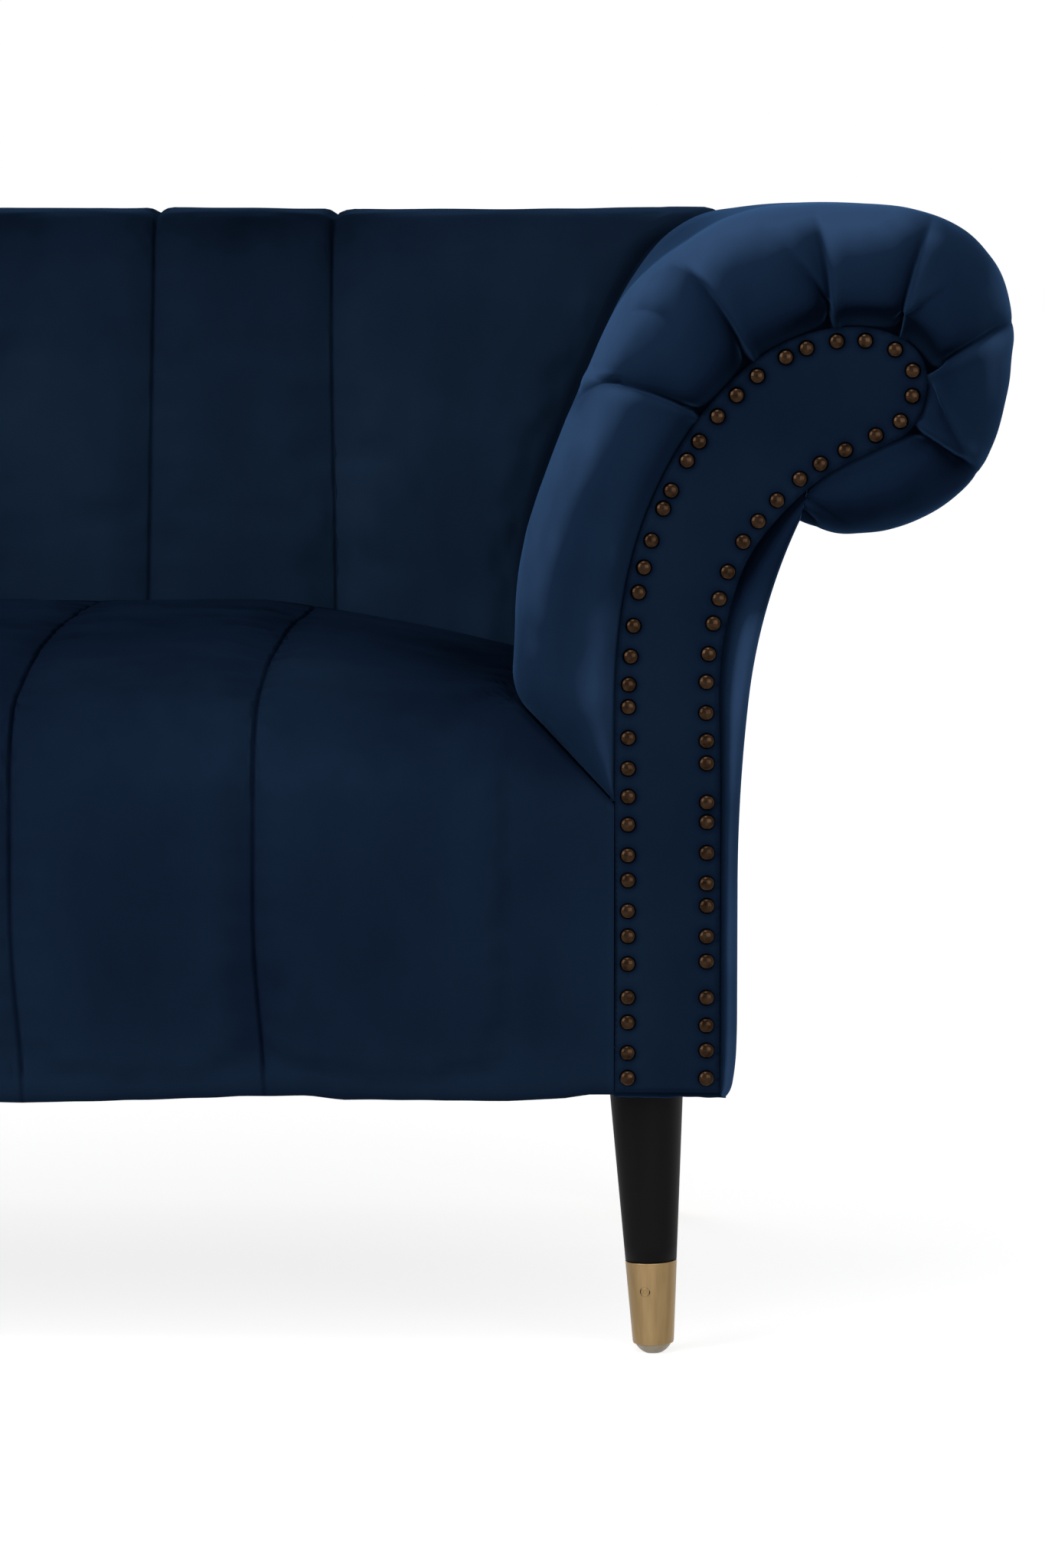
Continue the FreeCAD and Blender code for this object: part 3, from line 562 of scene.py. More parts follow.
def settled(points, faces, held, cap):
    """Points of a padded cover after its filling has pressed it out, as cloth that is held at some points."""
    mesh = new_mesh("cover_cloth", points, faces)
    cover = new_object("cover_cloth", mesh)
    group = cover.vertex_groups.new(name="held")
    group.add([int(index) for index in np.flatnonzero(held)], 1.0, "REPLACE")
    cloth = cover.modifiers.new("cloth", "CLOTH")
    cloth.point_cache.frame_end = SETTLE_FRAMES
    cloth.settings.vertex_group_mass = "held"
    cloth.settings.use_pressure = True
    cloth.settings.uniform_pressure_force = SETTLE_PRESSURE
    cloth.settings.effector_weights.gravity = 0.0
    cloth.settings.shrink_min = -SETTLE_FULLNESS
    for step in range(1, SETTLE_FRAMES + 1):
        scene.frame_set(step)
    shown = cover.evaluated_get(bpy.context.evaluated_depsgraph_get()).data
    place = np.array([vert.co for vert in shown.vertices]) / MM
    scene.frame_set(1)
    bpy.data.objects.remove(cover)
    bpy.data.meshes.remove(mesh)
    move = place - points
    size = np.linalg.norm(move, axis=1)
    return points + move * (cap / np.maximum(size, cap))[:, None]


# Materials


def new_material(name):
    material = bpy.data.materials.new(name)
    material.use_nodes = True
    tree = material.node_tree
    return material, tree, tree.nodes["Principled BSDF"]


def set_inputs(node, **values):
    """Sets inputs by their names, with underscores for spaces."""
    for name, value in values.items():
        node.inputs[name.replace("_", " ")].default_value = value


def put_together(tree, operation, first, second):
    both = tree.nodes.new("ShaderNodeMath")
    both.operation = operation
    tree.links.new(first, both.inputs[0])
    tree.links.new(second, both.inputs[1])
    return both.outputs[0]


def texture_noise(tree, scale, detail, stretch=EVENLY, roughness=0.5):
    """Value of a noise texture in the object's own coordinates."""
    place = tree.nodes.new("ShaderNodeTexCoord")
    mapping = tree.nodes.new("ShaderNodeMapping")
    texture = tree.nodes.new("ShaderNodeTexNoise")
    set_inputs(mapping, Scale=stretch)
    set_inputs(texture, Scale=scale, Detail=detail, Roughness=roughness)
    tree.links.new(place.outputs["Object"], mapping.inputs["Vector"])
    tree.links.new(mapping.outputs["Vector"], texture.inputs["Vector"])
    return texture.outputs["Fac"]


def add_bump(tree, shader, height, strength, distance, before=None):
    bump = tree.nodes.new("ShaderNodeBump")
    set_inputs(bump, Strength=strength, Distance=distance * MM)
    tree.links.new(height, bump.inputs["Height"])
    if before is not None:
        tree.links.new(before.outputs["Normal"], bump.inputs["Normal"])
    tree.links.new(bump.outputs["Normal"], shader.inputs["Normal"])
    return bump


def grained(name, stops, texture, bump=None, takes_painted_shading=False, **finish):
    """A material whose colour runs through stops by a noise texture, which also makes its bump. Where it
    takes painted shading, the mesh's own value adds painted shade in folds and recesses and painted
    highlights on crests."""
    material, tree, shader = new_material(name)
    grain = texture_noise(tree, *texture)
    shade = grain
    if takes_painted_shading:
        # The mesh's painted light and shade is added to the noise before the colour ramp
        painted_shading = tree.nodes.new("ShaderNodeAttribute")
        painted_shading.attribute_name = "painted_shading"
        shade = put_together(tree, "ADD", grain, painted_shading.outputs["Fac"])
    ramp = tree.nodes.new("ShaderNodeValToRGB")
    while len(ramp.color_ramp.elements) < len(stops):
        ramp.color_ramp.elements.new(0.5)
    for element, (place, colour) in zip(ramp.color_ramp.elements, stops):
        element.position = place
        element.color = (*colour, 1.0)
    tree.links.new(shade, ramp.inputs["Fac"])
    tree.links.new(ramp.outputs["Color"], shader.inputs["Base Color"])
    set_inputs(shader, **finish)
    if bump:
        add_bump(tree, shader, grain, *bump)
    return material


def velvet(name, dark, light, sheen, bright_shares=(1.6, 1.6, 1.6)):
    """Cut-pile velvet: the pile leans a little differently from patch to patch, over fine streaks, and
    painted light and shade from the mesh move its colour towards the deep and bright stops.
    """
    # The deep and bright stops are reached mostly where painted shade and painted highlights push the noise
    deep = tuple(DEEP_SHARE * part for part in dark)
    bright = tuple(share * part for share, part in zip(bright_shares, light))
    stops = ((0.0, deep), (0.3, dark), (0.72, light), (1.0, bright))
    material = grained(name, stops, VELVET_PATCHES, takes_painted_shading=True, Roughness=0.9, Sheen_Weight=sheen)
    tree = material.node_tree
    shader = tree.nodes["Principled BSDF"]
    set_inputs(shader, Sheen_Roughness=0.4, Sheen_Tint=VELVET_TINT, Specular_IOR_Level=0.0)
    fine = add_bump(tree, shader, texture_noise(tree, *VELVET_PILE), 0.25, 0.4)
    add_bump(tree, shader, texture_noise(tree, *VELVET_STREAKS), 0.12, 1.2, fine)
    return material


def mottled(name, dark, light, scale, stretch, roughness, metallic=0.0, bump=0.2):
    """A plain material, for timber, board, steel, plastic and coarse cloth."""
    stops = ((0.28, dark), (0.75, light))
    texture = (scale, 5.0, stretch, 0.6)
    return grained(name, stops, texture, (bump, 0.5), Roughness=roughness, Metallic=metallic)


# Arms


def ring_mates(line, pairs, positions):
    """Points of the facing's edge that belong to positions along an arm line."""
    edge = outline(FACING_LINE)
    here = [length_at(line, pair[0]) for pair in pairs]
    there = [length_at(edge, pair[1]) for pair in pairs]
    return at_lengths(edge, soften(np.interp(positions, here, there), RING_EVENING))


def drawn_share(line, positions):
    """Where along a line the arm's front is drawn in."""
    return bell(positions - length_at(line, DRAWN_IN_MIDDLE), DRAWN_IN_REACH)


def front_profile(width, form, samples):
    """Place across the ring and forward of the arm's front, from the facing's edge to the arm's outline."""
    rise, side, depth = (np.minimum(most, part * width) for most, part in form)
    share = np.linspace(0.0, 1.0, samples[0], endpoint=False)
    turn = np.linspace(0.0, QUARTER, samples[1])
    across = np.hstack([(width - side) * share, width - side + side * np.sin(turn)])
    flat = rise - (rise + FRONT_TUCK) * (1.0 - share) ** 3
    return across, np.hstack([flat, rise - depth * (1.0 - np.cos(turn))])


def ring_points(line, pairs, count, samples, form, drawn_in=0.0):
    """Grid over a stretch of the arm, from under the facing, over the front edge and along to the rear. With
    it come the positions along the line, and the share of the front's width and what is left of it."""
    positions = np.linspace(0.0, lengths(line)[-1], count)
    inner = ring_mates(line, pairs, positions)[:, None]
    outer = at_lengths(line, positions)
    outward = outward_of(outer)[:, None]
    outer = outer[:, None]
    give = drawn_in * drawn_share(line, positions)[:, None]
    shoulder = outer - outward * give
    width = np.abs(shoulder - inner)
    way = np.where(width > 2.0, (shoulder - inner) / np.maximum(width, 1e-6), outward)
    across, forward = front_profile(width, form, samples)
    across[:, 0] -= UNDER_FACING
    front_y = ARM_FRONT - forward
    behind_back = smoothstep(OUTSIDE_BACK_Z + 6.0, OUTSIDE_BACK_Z - 6.0, outer.imag)
    behind_back *= smoothstep(OUTSIDE_BACK_X - 10.0, OUTSIDE_BACK_X - 20.0, outer.real)
    rear_y = outside_y(outer.imag) - BEHIND_BACK * behind_back
    start_y = front_y[:, -1:]
    body_y = start_y + (rear_y - REAR_ROUND - start_y) * np.linspace(0.0, 1.0, BODY_ROWS + 1)[1:]
    body = outer - outward * (give * smoothstep(DRAWN_IN_Y[1], DRAWN_IN_Y[0], body_y))
    turn = np.linspace(0.0, QUARTER, 5)[1:]
    edge_y = rear_y - REAR_ROUND * (1.0 - np.sin(turn))
    edge = outer - outward * REAR_ROUND * (1.0 - np.cos(turn))
    place = np.hstack([inner + way * across, body, edge])
    points = np.stack([place.real, np.hstack([front_y, body_y, edge_y]), place.imag], axis=2)
    behind = np.zeros((count, BODY_ROWS + len(turn)))
    share = np.hstack([across / np.maximum(width, 1.0), behind + SHARE_BEHIND])
    return points, positions, share, np.hstack([width - across, behind])


def pleat_folds(across, up):
    """Relief of the pleats at places of the arm's front, and the painted shade in each fold and painted
    highlight on its lip.
    """
    relief = np.zeros_like(across)
    painted_shading = np.zeros_like(across)
    for inner, outer, bow, depth, side, ends in PLEATS:
        start = complex(*inner)
        run = complex(*outer) - start
        local = (across + 1j * up - start) / run
        along = local.real
        held = np.clip(along, 0.0, 1.0)
        gap = side * (local.imag * abs(run) - bow * 4.0 * along * (1.0 - along))
        wide = 0.7 + 0.8 * held
        fade = ends[0] + (ends[1] - ends[0]) * held
        fade *= smoothstep(1.16, 0.82, along) * smoothstep(-0.3, -0.05, along)
        open_side = np.exp(-np.abs(gap) / (PLEAT_SOFT * wide))
        valley = np.where(gap > 0, open_side, bell(gap, PLEAT_SHARP))
        lip = bell(gap + LIP_PLACE * wide, LIP_REACH * wide)
        relief += depth * fade * (PLEAT_LIP * lip - 0.7 * valley - 0.3 * bell(gap, PLEAT_CREASE))
        # Painted shade in the fold and a painted highlight on its lip
        painted_shading += min(depth / PLEAT_FULL, 1.0) * fade * (LIP_PAINTED_LIGHT * lip - VALLEY_PAINTED_SHADE * valley)
    return relief, painted_shading


def puff_relief(line, positions, share):
    """Cloth that stands out between the pleats near the facing."""
    stops = sorted(length_at(line, pair[0]) for pair in RING_PAIRS[1:])
    between = np.interp(positions, stops, np.arange(len(stops)))
    swell = np.abs(np.sin(np.pi * between)) ** 0.8
    swell[positions < stops[0]] = 0.0
    return PUFF * swell[:, None] * smoothstep(-0.05, 0.3, share) * smoothstep(1.1, 0.5, share)


def arm_shading(across, behind, up, share, normals, drawn):
    """Painted light and shade on the arm's cover: painted light on the roll, beside the facing and along the
    outer edge, and painted shade where the front is drawn in, under the roll and round the facing's head."""
    shaded = drawn * smoothstep(*SHADE_BEHIND[0], behind) * smoothstep(*SHADE_BEHIND[1], behind)
    towards = normals @ np.array(LIT_WAY)
    on_roll = smoothstep(*ROLL_UP, up)
    low_light = 0.05 + 0.24 * smoothstep(0.6, 0.1, share)
    low_light += 0.3 * smoothstep(0.3, 0.64, towards) * smoothstep(*SIDE_UP, up)
    light = ROLL_LIGHT * on_roll * smoothstep(0.05, 0.95, towards)
    light += low_light * (1.0 - on_roll) * smoothstep(*INNER_SIDE, across)
    rim = smoothstep(0.2, 0.8, normals @ np.array(RIM_WAY)) * smoothstep(*RIM_SIDE, across)
    light += RIM_LIGHT * rim * smoothstep(*RIM_BEHIND, behind)
    light *= smoothstep(*LIGHT_BEHIND, behind) ** 1.5 * (1.0 - shaded)
    under = smoothstep(0.1, -0.7, normals[:, :, 2]) * smoothstep(*UNDER_SIDE, across)
    head = smoothstep(*HEAD_UP, up)
    at_facing = head * (1.0 - smoothstep(0.0, 0.12 + 0.25 * head, share))
    return light - DRAWN_IN_SHADE * shaded - UNDER_SHADE * under - FACING_SHADE * at_facing


def arm_points():
    """Grid of the arm's cover, and the painted light and shade at each of its points."""
    line = outline(ARM_LINE)
    grid = ring_points(line, RING_PAIRS, *ARM_GRID, ARM_FRONT_FORM, DRAWN_IN)
    points, positions, share, left_over = grid
    normals = grid_normals(points)
    across, behind, up = np.moveaxis(points - (INNER_ARM, ARM_FRONT, BASE), 2, 0)
    on_front = smoothstep(*FRONT_BEHIND, behind)
    folds, painted_shading = pleat_folds(across, up)
    away = smoothstep(0.0, 0.25, share) * smoothstep(60.0, 115.0, positions)[:, None]
    relief = folds * on_front + puff_relief(line, positions, share)
    relief += unevenness(points, *ARM_WAVES) * away
    relief += unevenness(points, *ARM_RIPPLES) * away * on_front
    drawn = drawn_share(line, positions)[:, None]
    # Painted shade and highlights of the pleats, then painted light and shade over the whole arm
    painted_shading = painted_shading * on_front + arm_shading(across, behind, up, share, normals, drawn)
    points = points + normals * relief[:, :, None]
    height = BOARD_FRONT - points[:, :, 1]
    lifted = 0.5 * (height + np.sqrt(height**2 + BOARD_SOFTENING**2))
    on_board = smoothstep(BOARD_INSET - 14.0, BOARD_INSET, left_over)
    points[:, :, 1] = BOARD_FRONT - (height + (lifted - height) * on_board)
    return points, painted_shading.ravel()


def make_arms(material):
    points, painted_shading = arm_points()
    faces = flip(grid_faces(*points.shape[:2]))
    for hand, place, quads in both_hands(points.reshape(-1, 3), faces):
        replaced = (f"{hand}_arm_cover", f"{hand}_arm_foam")
        piece = make_piece(f"{hand}_arm", place, quads, material, "velvet", replaced, painted_shading, ARM_SHELL)


def front_wrap():
    """The cloth below the facing, drawn round the foot of the arm and tacked under the frame."""
    rows = []
    for x in np.linspace(SEAT_END_X, WRAP_END_X, 45):
        pull = WRAP_PULL * noise.noise(Vector((x / 9.0, 3.3, 0.0)))
        rows.append([(x, y, z + share * pull) for y, z, share in WRAP_SECTION])
    return np.array(rows)


def make_outside_arms(material):
    """The panels below the scrolls, with the narrow strip beside the facing and the wrap below it."""
    points, _, share, _ = ring_points(outline(OUTSIDE_LINE), OUTSIDE_PAIRS, *STRIP_GRID, STRIP_FRONT_FORM)
    behind = points[:, :, 1] - ARM_FRONT
    # Painted light on the strip beside the facing, and painted shade near its top
    painted_shading = STRIP_LIGHT * smoothstep(0.1, 0.6, share) * smoothstep(120.0, 8.0, behind)
    painted_shading -= 0.6 * smoothstep(BASE + 310.0, BASE + 370.0, points[:, :, 2])
    wrap = front_wrap()
    faces = flip(grid_faces(*points.shape[:2])) + moved(grid_faces(*wrap.shape[:2]), painted_shading.size)
    points = np.vstack([points.reshape(-1, 3), wrap.reshape(-1, 3)])
    # Painted shade on the wrap below the facing
    painted_shading = np.append(painted_shading, np.full(len(points) - painted_shading.size, -0.3))
    for hand, place, quads in both_hands(points, faces):
        name = f"{hand}_outside_arm"
        replaced = (f"{name}_cover", f"{name}_board")
        piece = make_piece(name, place, quads, material, "velvet", replaced, painted_shading, OUTSIDE_ARM_SHELL)


# Facings, rear panels and nails


def inside_polygon(points, polygon):
    """Which complex points lie inside a closed complex polygon."""
    inside = np.zeros(len(points), bool)
    for start, end in zip(polygon, np.roll(polygon, -1)):
        rise = end.imag - start.imag
        if abs(rise) < 1e-12:
            continue
        crosses = (start.imag > points.imag) != (end.imag > points.imag)
        x = start.real + (points.imag - start.imag) * (end.real - start.real) / rise
        inside ^= crosses & (points.real < x)
    return inside


def nearest(points, others):
    return np.min(np.abs(points[:, None] - others[None, :]), axis=1)


def filled(loops, step):
    """Points and triangles that fill the first of some closed outlines and leave the others open."""
    border = np.concatenate(loops)
    xs = np.arange(border.real.min(), border.real.max(), step)
    zs = np.arange(border.imag.min(), border.imag.max(), step * math.sqrt(0.75))
    lattice = (xs[None, :] + (np.arange(len(zs)) % 2)[:, None] * step / 2.0 + 1j * zs[:, None]).ravel()
    lattice = lattice[inside_polygon(lattice, loops[0])]
    for hole in loops[1:]:
        lattice = lattice[~inside_polygon(lattice, hole)]
    lattice = lattice[nearest(lattice, border) > step / 2.0]
    edges = []
    for loop in loops:
        edges += ring_edges(len(loop), len(edges))
    plan = [Vector((point.real, point.imag)) for point in np.concatenate([border, lattice])]
    flat, _, faces, _, _, _ = delaunay_2d_cdt(plan, edges, [], 1, 1e-6)
    plan = np.array([complex(*point) for point in flat])
    middles = np.array([plan[list(face)].mean() for face in faces])
    kept = np.ones(len(faces), bool)
    for hole in loops[1:]:
        kept &= ~inside_polygon(middles, hole)
    return plan, [tuple(face) for face, keep in zip(faces, kept) if keep]


def nail_places(node):
    """Middles of the separate solids of a node, in millimetres."""
    build = bmesh.new()
    build.from_mesh(frame["nodes"][node].data)
    bmesh.ops.remove_doubles(build, verts=build.verts, dist=0.05 * MM)
    waiting = set(build.verts)
    places = []
    while waiting:
        group = []
        front = [waiting.pop()]
        while front:
            vert = front.pop()
            group.append(vert.co.copy())
            linked = {edge.other_vert(vert) for edge in vert.link_edges} & waiting
            waiting -= linked
            front += linked
        places.append((np.min(group, axis=0) + np.max(group, axis=0)) / 2.0 / MM)
    build.free()
    return sorted(places, key=lambda place: (place[0], place[2]))


def board_mesh(line, face_y, behind_y, places=()):
    """Points, faces and painted shade of a padded board: rounded edges, a slight crown and a dimple round
    each nail, with painted shade over the rounded edge and round each nail.
    Its face and its back lie at a depth for each height."""
    closed = np.append(line, line[0])
    total = lengths(closed)[-1]
    rim = at_lengths(closed, np.linspace(0.0, total, int(total / BOARD_STEPS[0]), endpoint=False))
    plan, faces = filled([rim], BOARD_STEPS[1])
    gap = nearest(plan, rim)
    rounding = np.clip(1.0 - gap / BOARD_EDGE, 0.0, 1.0)
    depth = BOARD_EDGE * (1.0 - np.sqrt(1.0 - rounding**2))
    depth -= BOARD_CROWN * smoothstep(0.0, BOARD_CROWN_REACH, gap)
    # Painted shade over the rounded edge, and below round each nail
    painted_shading = -BOARD_RIM_SHADE * rounding
    for x, _, z in places:
        away = np.abs(plan - complex(x, z))
        depth += NAIL_DIMPLE[0] * bell(away, NAIL_DIMPLE[1])
        painted_shading -= NAIL_SHADE[0] * np.exp(-((away / NAIL_SHADE[1]) ** 4))
    inward = 1.0 if behind_y(BASE) > face_y(BASE) else -1.0
    points = np.column_stack([plan.real, face_y(plan.imag) + inward * depth, plan.imag])
    points[:, 1] += unevenness(points, *BOARD_WAVES)
    size = len(points)
    back = np.column_stack([rim.real, behind_y(rim.imag), rim.imag])
    faces += [(i, size + i, size + j, j) for i, j in ring_edges(len(rim))]
    faces.append(tuple(size + i for i in reversed(range(len(rim)))))
    painted_shading = np.append(painted_shading, np.full(len(rim), -BOARD_RIM_SHADE))
    return np.vstack([points, back]), faces if inward > 0 else flip(faces), painted_shading


def make_boards(material, name, mesh, replaced):
    """A padded board on the right arm, and its mirror image on the left one."""
    points, faces, painted_shading = mesh
    for hand, place, shown in both_hands(points, faces):
        piece = make_piece(f"{hand}_{name}", place, shown, material, "velvet", (f"{hand}_{replaced}",), painted_shading)


def make_facings(material):
    points, faces, painted_shading = board_mesh(
        outline(FACING_LINE),
        lambda z: FACING_FRONT + 0.0 * z,
        lambda z: ARM_FRONT + 0.0 * z,
        nail_places("right_facing_nails"),
    )
    # Painted light over the facing, and painted shade towards its head
    painted_shading += 0.06 - 0.16 * smoothstep(BASE + 380.0, BASE + 470.0, points[:, 2])
    make_boards(material, "facing_board", (points, faces, painted_shading), "facing")


def make_rear_panels(material):
    """Panels that close the rear ends of the arms, beside and above the outside back."""
    scroll = outline(ARM_LINE)
    arm = np.concatenate([scroll, outline(OUTSIDE_LINE)[1:]])
    corner = complex(OUTSIDE_BACK_X + 0.5, OUTSIDE_BACK_Z + 0.5)
    shown = arm - (REAR_ROUND - 1.0) * outward_of(arm)
    shown[len(scroll) - 1] = scroll[-1]
    shown = shown[(shown.real > corner.real) | (shown.imag > corner.imag)]
    ends = [complex(corner.real, shown[-1].imag), corner, complex(shown[0].real, corner.imag)]
    mesh = board_mesh(np.concatenate([shown, ends]), outside_y, lambda z: outside_y(z, REAR_PANEL))
    make_boards(material, "rear_panel", mesh, "arm_rear_panel")


def make_nails(material):
    """Domed nail heads, each a little tilted."""
    turn = QUARTER * np.arange(NAIL_RINGS)[:, None] / NAIL_RINGS
    angle = 2.0 * math.pi * np.arange(NAIL_SIDES) / NAIL_SIDES
    reach = NAIL_RADIUS * np.cos(turn) ** 0.9
    rise = NAIL_RISE * np.sin(turn) + 0.0 * angle
    dome = np.stack([reach * np.cos(angle), NAIL_SUNK - rise, reach * np.sin(angle)], axis=2).reshape(-1, 3)
    top = len(dome)
    dome = np.vstack([dome, [(0.0, NAIL_SUNK - NAIL_RISE, 0.0)]])
    head_faces = grid_faces(NAIL_RINGS, NAIL_SIDES, wrap=True)
    head_faces += [(i, j, top) for i, j in ring_edges(NAIL_SIDES, top - NAIL_SIDES)]
    head_faces.append(tuple(reversed(range(NAIL_SIDES))))
    for hand in HANDS:
        node = f"{hand}_facing_nails"
        heads = []
        faces = []
        for index, place in enumerate(nail_places(node)):
            head = dome + (place[0], FACING_FRONT, place[2])
            head[:, 1] += NAIL_TILT * math.sin(index * 2.4) * dome[:, 0]
            heads.append(head)
            faces += moved(head_faces, index * len(dome))
        make_piece(f"{hand}_nail_heads", np.vstack(heads), faces, material, "bronze", (node,))


# Seat


def seam_gap(x, seams):
    return np.min(np.abs(x[:, None] - np.array(seams)), axis=1)


def channel_sink(x, seams, crest_x, channel):
    """How far the cloth lies below a channel's crest: round over the channel, with a narrow stitched seam.
    The outer channels fall from a crest to their seam only."""
    depth, power = channel
    end = 2.0 * crest_x - seams[-1]
    stops = np.array([-end, *seams, end])
    last = len(stops) - 2
    index = np.clip(np.searchsorted(stops, x) - 1, 0, last)
    across = 2.0 * (x - stops[index]) / (stops[index + 1] - stops[index]) - 1.0
    outer = (index == 0) | (index == last)
    share = np.where(outer, np.clip(-np.sign(x) * across, 0.0, 1.0), np.abs(across))
    return (depth * share**power + STITCH_DEPTH * bell(seam_gap(x, seams), STITCH_WIDTH))[:, None]


def seam_columns(seams, end):
    """Places across the width: evenly spaced, and closer together at the seams."""
    columns = np.linspace(-end, end, int(2.0 * end / COVER_STEP))
    columns = columns[seam_gap(columns, seams) > SEAM_CLEAR]
    beside = np.array([0.0, *SEAM_OFFSETS, *(-offset for offset in SEAM_OFFSETS)])
    columns = np.sort(np.append(columns, np.add.outer(seams, beside)))
    return columns[np.abs(columns) <= end]


def seam_puckers(sections, columns, seams, puckers):
    """Small ripples across the seams, where the stitches gather the cloth."""
    near = bell(seam_gap(columns, seams), PUCKER_REACH)[:, None]
    return near * unevenness(sections * np.array(PUCKER_STRETCH), *puckers)


def section_normals(sections):
    """Outward normals of closed sections, in the plane of each section."""
    run = np.roll(sections, -1, axis=1) - np.roll(sections, 1, axis=1)
    normals = np.stack([np.zeros(run.shape[:2]), -run[:, :, 2], run[:, :, 1]], axis=2)
    return normals / np.maximum(np.linalg.norm(normals, axis=2, keepdims=True), 1e-9)


def closed_strip(sections):
    """Grid of closed sections as points and faces, with both ends closed."""
    rows, columns = sections.shape[:2]
    faces = grid_faces(rows, columns, wrap=True)
    faces.append(tuple(range(columns)))
    faces.append(tuple((rows - 1) * columns + column for column in reversed(range(columns))))
    return sections.reshape(-1, 3), flip(faces)


def make_cover(name, material, sections, seam, relief, inside, taper, held, painted_shading):
    """A padded cover from sections, each at a gap from the nearest seam. It starts smaller between the seams,
    is pressed out where it isn't held, and stands for its solid and the foam in it. Painted shade darkens it
    along each seam."""
    seam = seam[:, None]
    relief = relief - SETTLE_START * taper * smoothstep(0.0, SETTLE_FULL_AT, seam) * inside
    points, faces = closed_strip(sections + section_normals(sections) * relief[:, :, None])
    held = held | (seam < SEAM_HELD)
    points = settled(points, faces, held.ravel(), SETTLE_CAP * taper.ravel())
    # Painted shade along each seam
    for shade, reach in SEAM_SHADES:
        painted_shading = painted_shading - shade * bell(seam, reach)
    replaced = (f"{name}_cover", f"{name}_foam")
    piece = make_piece(name, points, faces, material, "velvet", replaced, painted_shading.ravel())


def back_front_y(z):
    return BACK_FOOT_Y + (z - BACK_FOOT_Z) * BACK_SLOPE


def seat_tops(x):
    """Heights of the front edge, the crown and the crease, which fall towards the arm and under it."""
    reach = abs(x)
    share = max(reach - SEAT_LEVEL_X, 0.0) / (SEAT_SIDE_X - SEAT_LEVEL_X)
    fall = min(share, 1.0) ** SEAT_FALL_POWER
    tuck = max(reach - SEAT_SIDE_X, 0.0)
    return [top - fall * (top - side) - tuck for top, side in zip(SEAT_TOPS, SEAT_SIDE_TOPS)]


def seat_rounding(x):
    """Radius of the front edge, smaller beside the arm."""
    return SEAT_ROUND - (SEAT_ROUND - SEAT_SIDE_ROUND) * smoothstep(SEAT_FALL_X, SEAT_SIDE_X, abs(x))


def hem_height(x):
    """The hem hangs a little unevenly, and is drawn up beside the facing."""
    places, heights = zip(*SEAT_HEM)
    return np.interp(abs(x), places, heights) + HEM_PULL * noise.noise(Vector((x / 28.0, 8.1, 0.0)))


def bezier(start, middle, end, t):
    return start * (1 - t) ** 2 + middle * 2 * t * (1 - t) + end * t**2


def seat_section(x):
    """Closed section of the seat at x without its channels, and how much of them each point takes."""
    edge_z, crown_z, crease_z = seat_tops(x)
    hem_z = hem_height(x)
    rounding = seat_rounding(x)
    bend_end = QUARTER - math.atan2(crown_z - edge_z, SEAT_CROWN_REACH)
    round_low = edge_z - rounding * math.sin(bend_end)
    turn = np.linspace(-QUARTER, 0.0, 5)
    hem = (HEM_ROUND * (1.0 - np.cos(turn)), hem_z + HEM_ROUND * (1.0 + np.sin(turn)))
    rise = np.linspace(0.0, 1.0, 31)[1:]
    belly = SEAT_BELLY * np.sin(np.pi * rise)
    front = (-belly, hem_z + HEM_ROUND + (round_low - hem_z - HEM_ROUND) * rise)
    bend = np.linspace(0.0, bend_end, 20)[1:]
    nose = (rounding * (1.0 - np.cos(bend)), round_low + rounding * np.sin(bend))
    start = nose[0][-1]
    end = back_front_y(crease_z) - SEAT_BACK_GAP - SEAT_FRONT
    t = np.linspace(0.0, 1.0, 44)[1:]
    top = (bezier(start, start + SEAT_CROWN_REACH, end, t), bezier(edge_z, crown_z, crease_z, t))
    shown = soften(np.hstack([hem, front, nose, top]).T, 6)
    shown[:, 0] += SEAT_FRONT
    tuck_z = crease_z - 40.0
    inner = [
        (back_front_y(tuck_z) - SEAT_BACK_GAP, tuck_z),
        (back_front_y(DECK) - SEAT_BACK_GAP, DECK),
        (-100.0, DECK),
        (RAIL_FRONT, DECK),
        (RAIL_FRONT, 250.0),
        (RAIL_FRONT, HEM_WRAP_Z),
    ]
    weight = np.ones(len(shown))
    weight[:6] = np.linspace(0.0, 0.8 * SEAT_REAR_CHANNEL, 6)
    weight[-len(t) :] = np.linspace(1.0, SEAT_REAR_CHANNEL, len(t))
    return np.vstack([shown, inner]), np.append(weight, np.zeros(len(inner)))


def drift(sections):
    """Seams and cloth that lean outwards a little towards the hem and the rear."""
    x, y, z = np.moveaxis(sections, 2, 0)
    reach = np.abs(x)
    middle = smoothstep(0.0, SEAT_SEAMS[3], reach) * smoothstep(SEAT_SIDE_X, SEAT_CREST_X, reach)
    rear = smoothstep(SEAT_FRONT + 60.0, BACK_FOOT_Y, y)
    front_move, rear_move = SEAM_SPREAD
    aside = SEAM_DRIFT * smoothstep(330.0, BASE, z) ** 1.5 + front_move + (rear_move - front_move) * rear
    sections[:, :, 0] += np.sign(x) * aside * middle


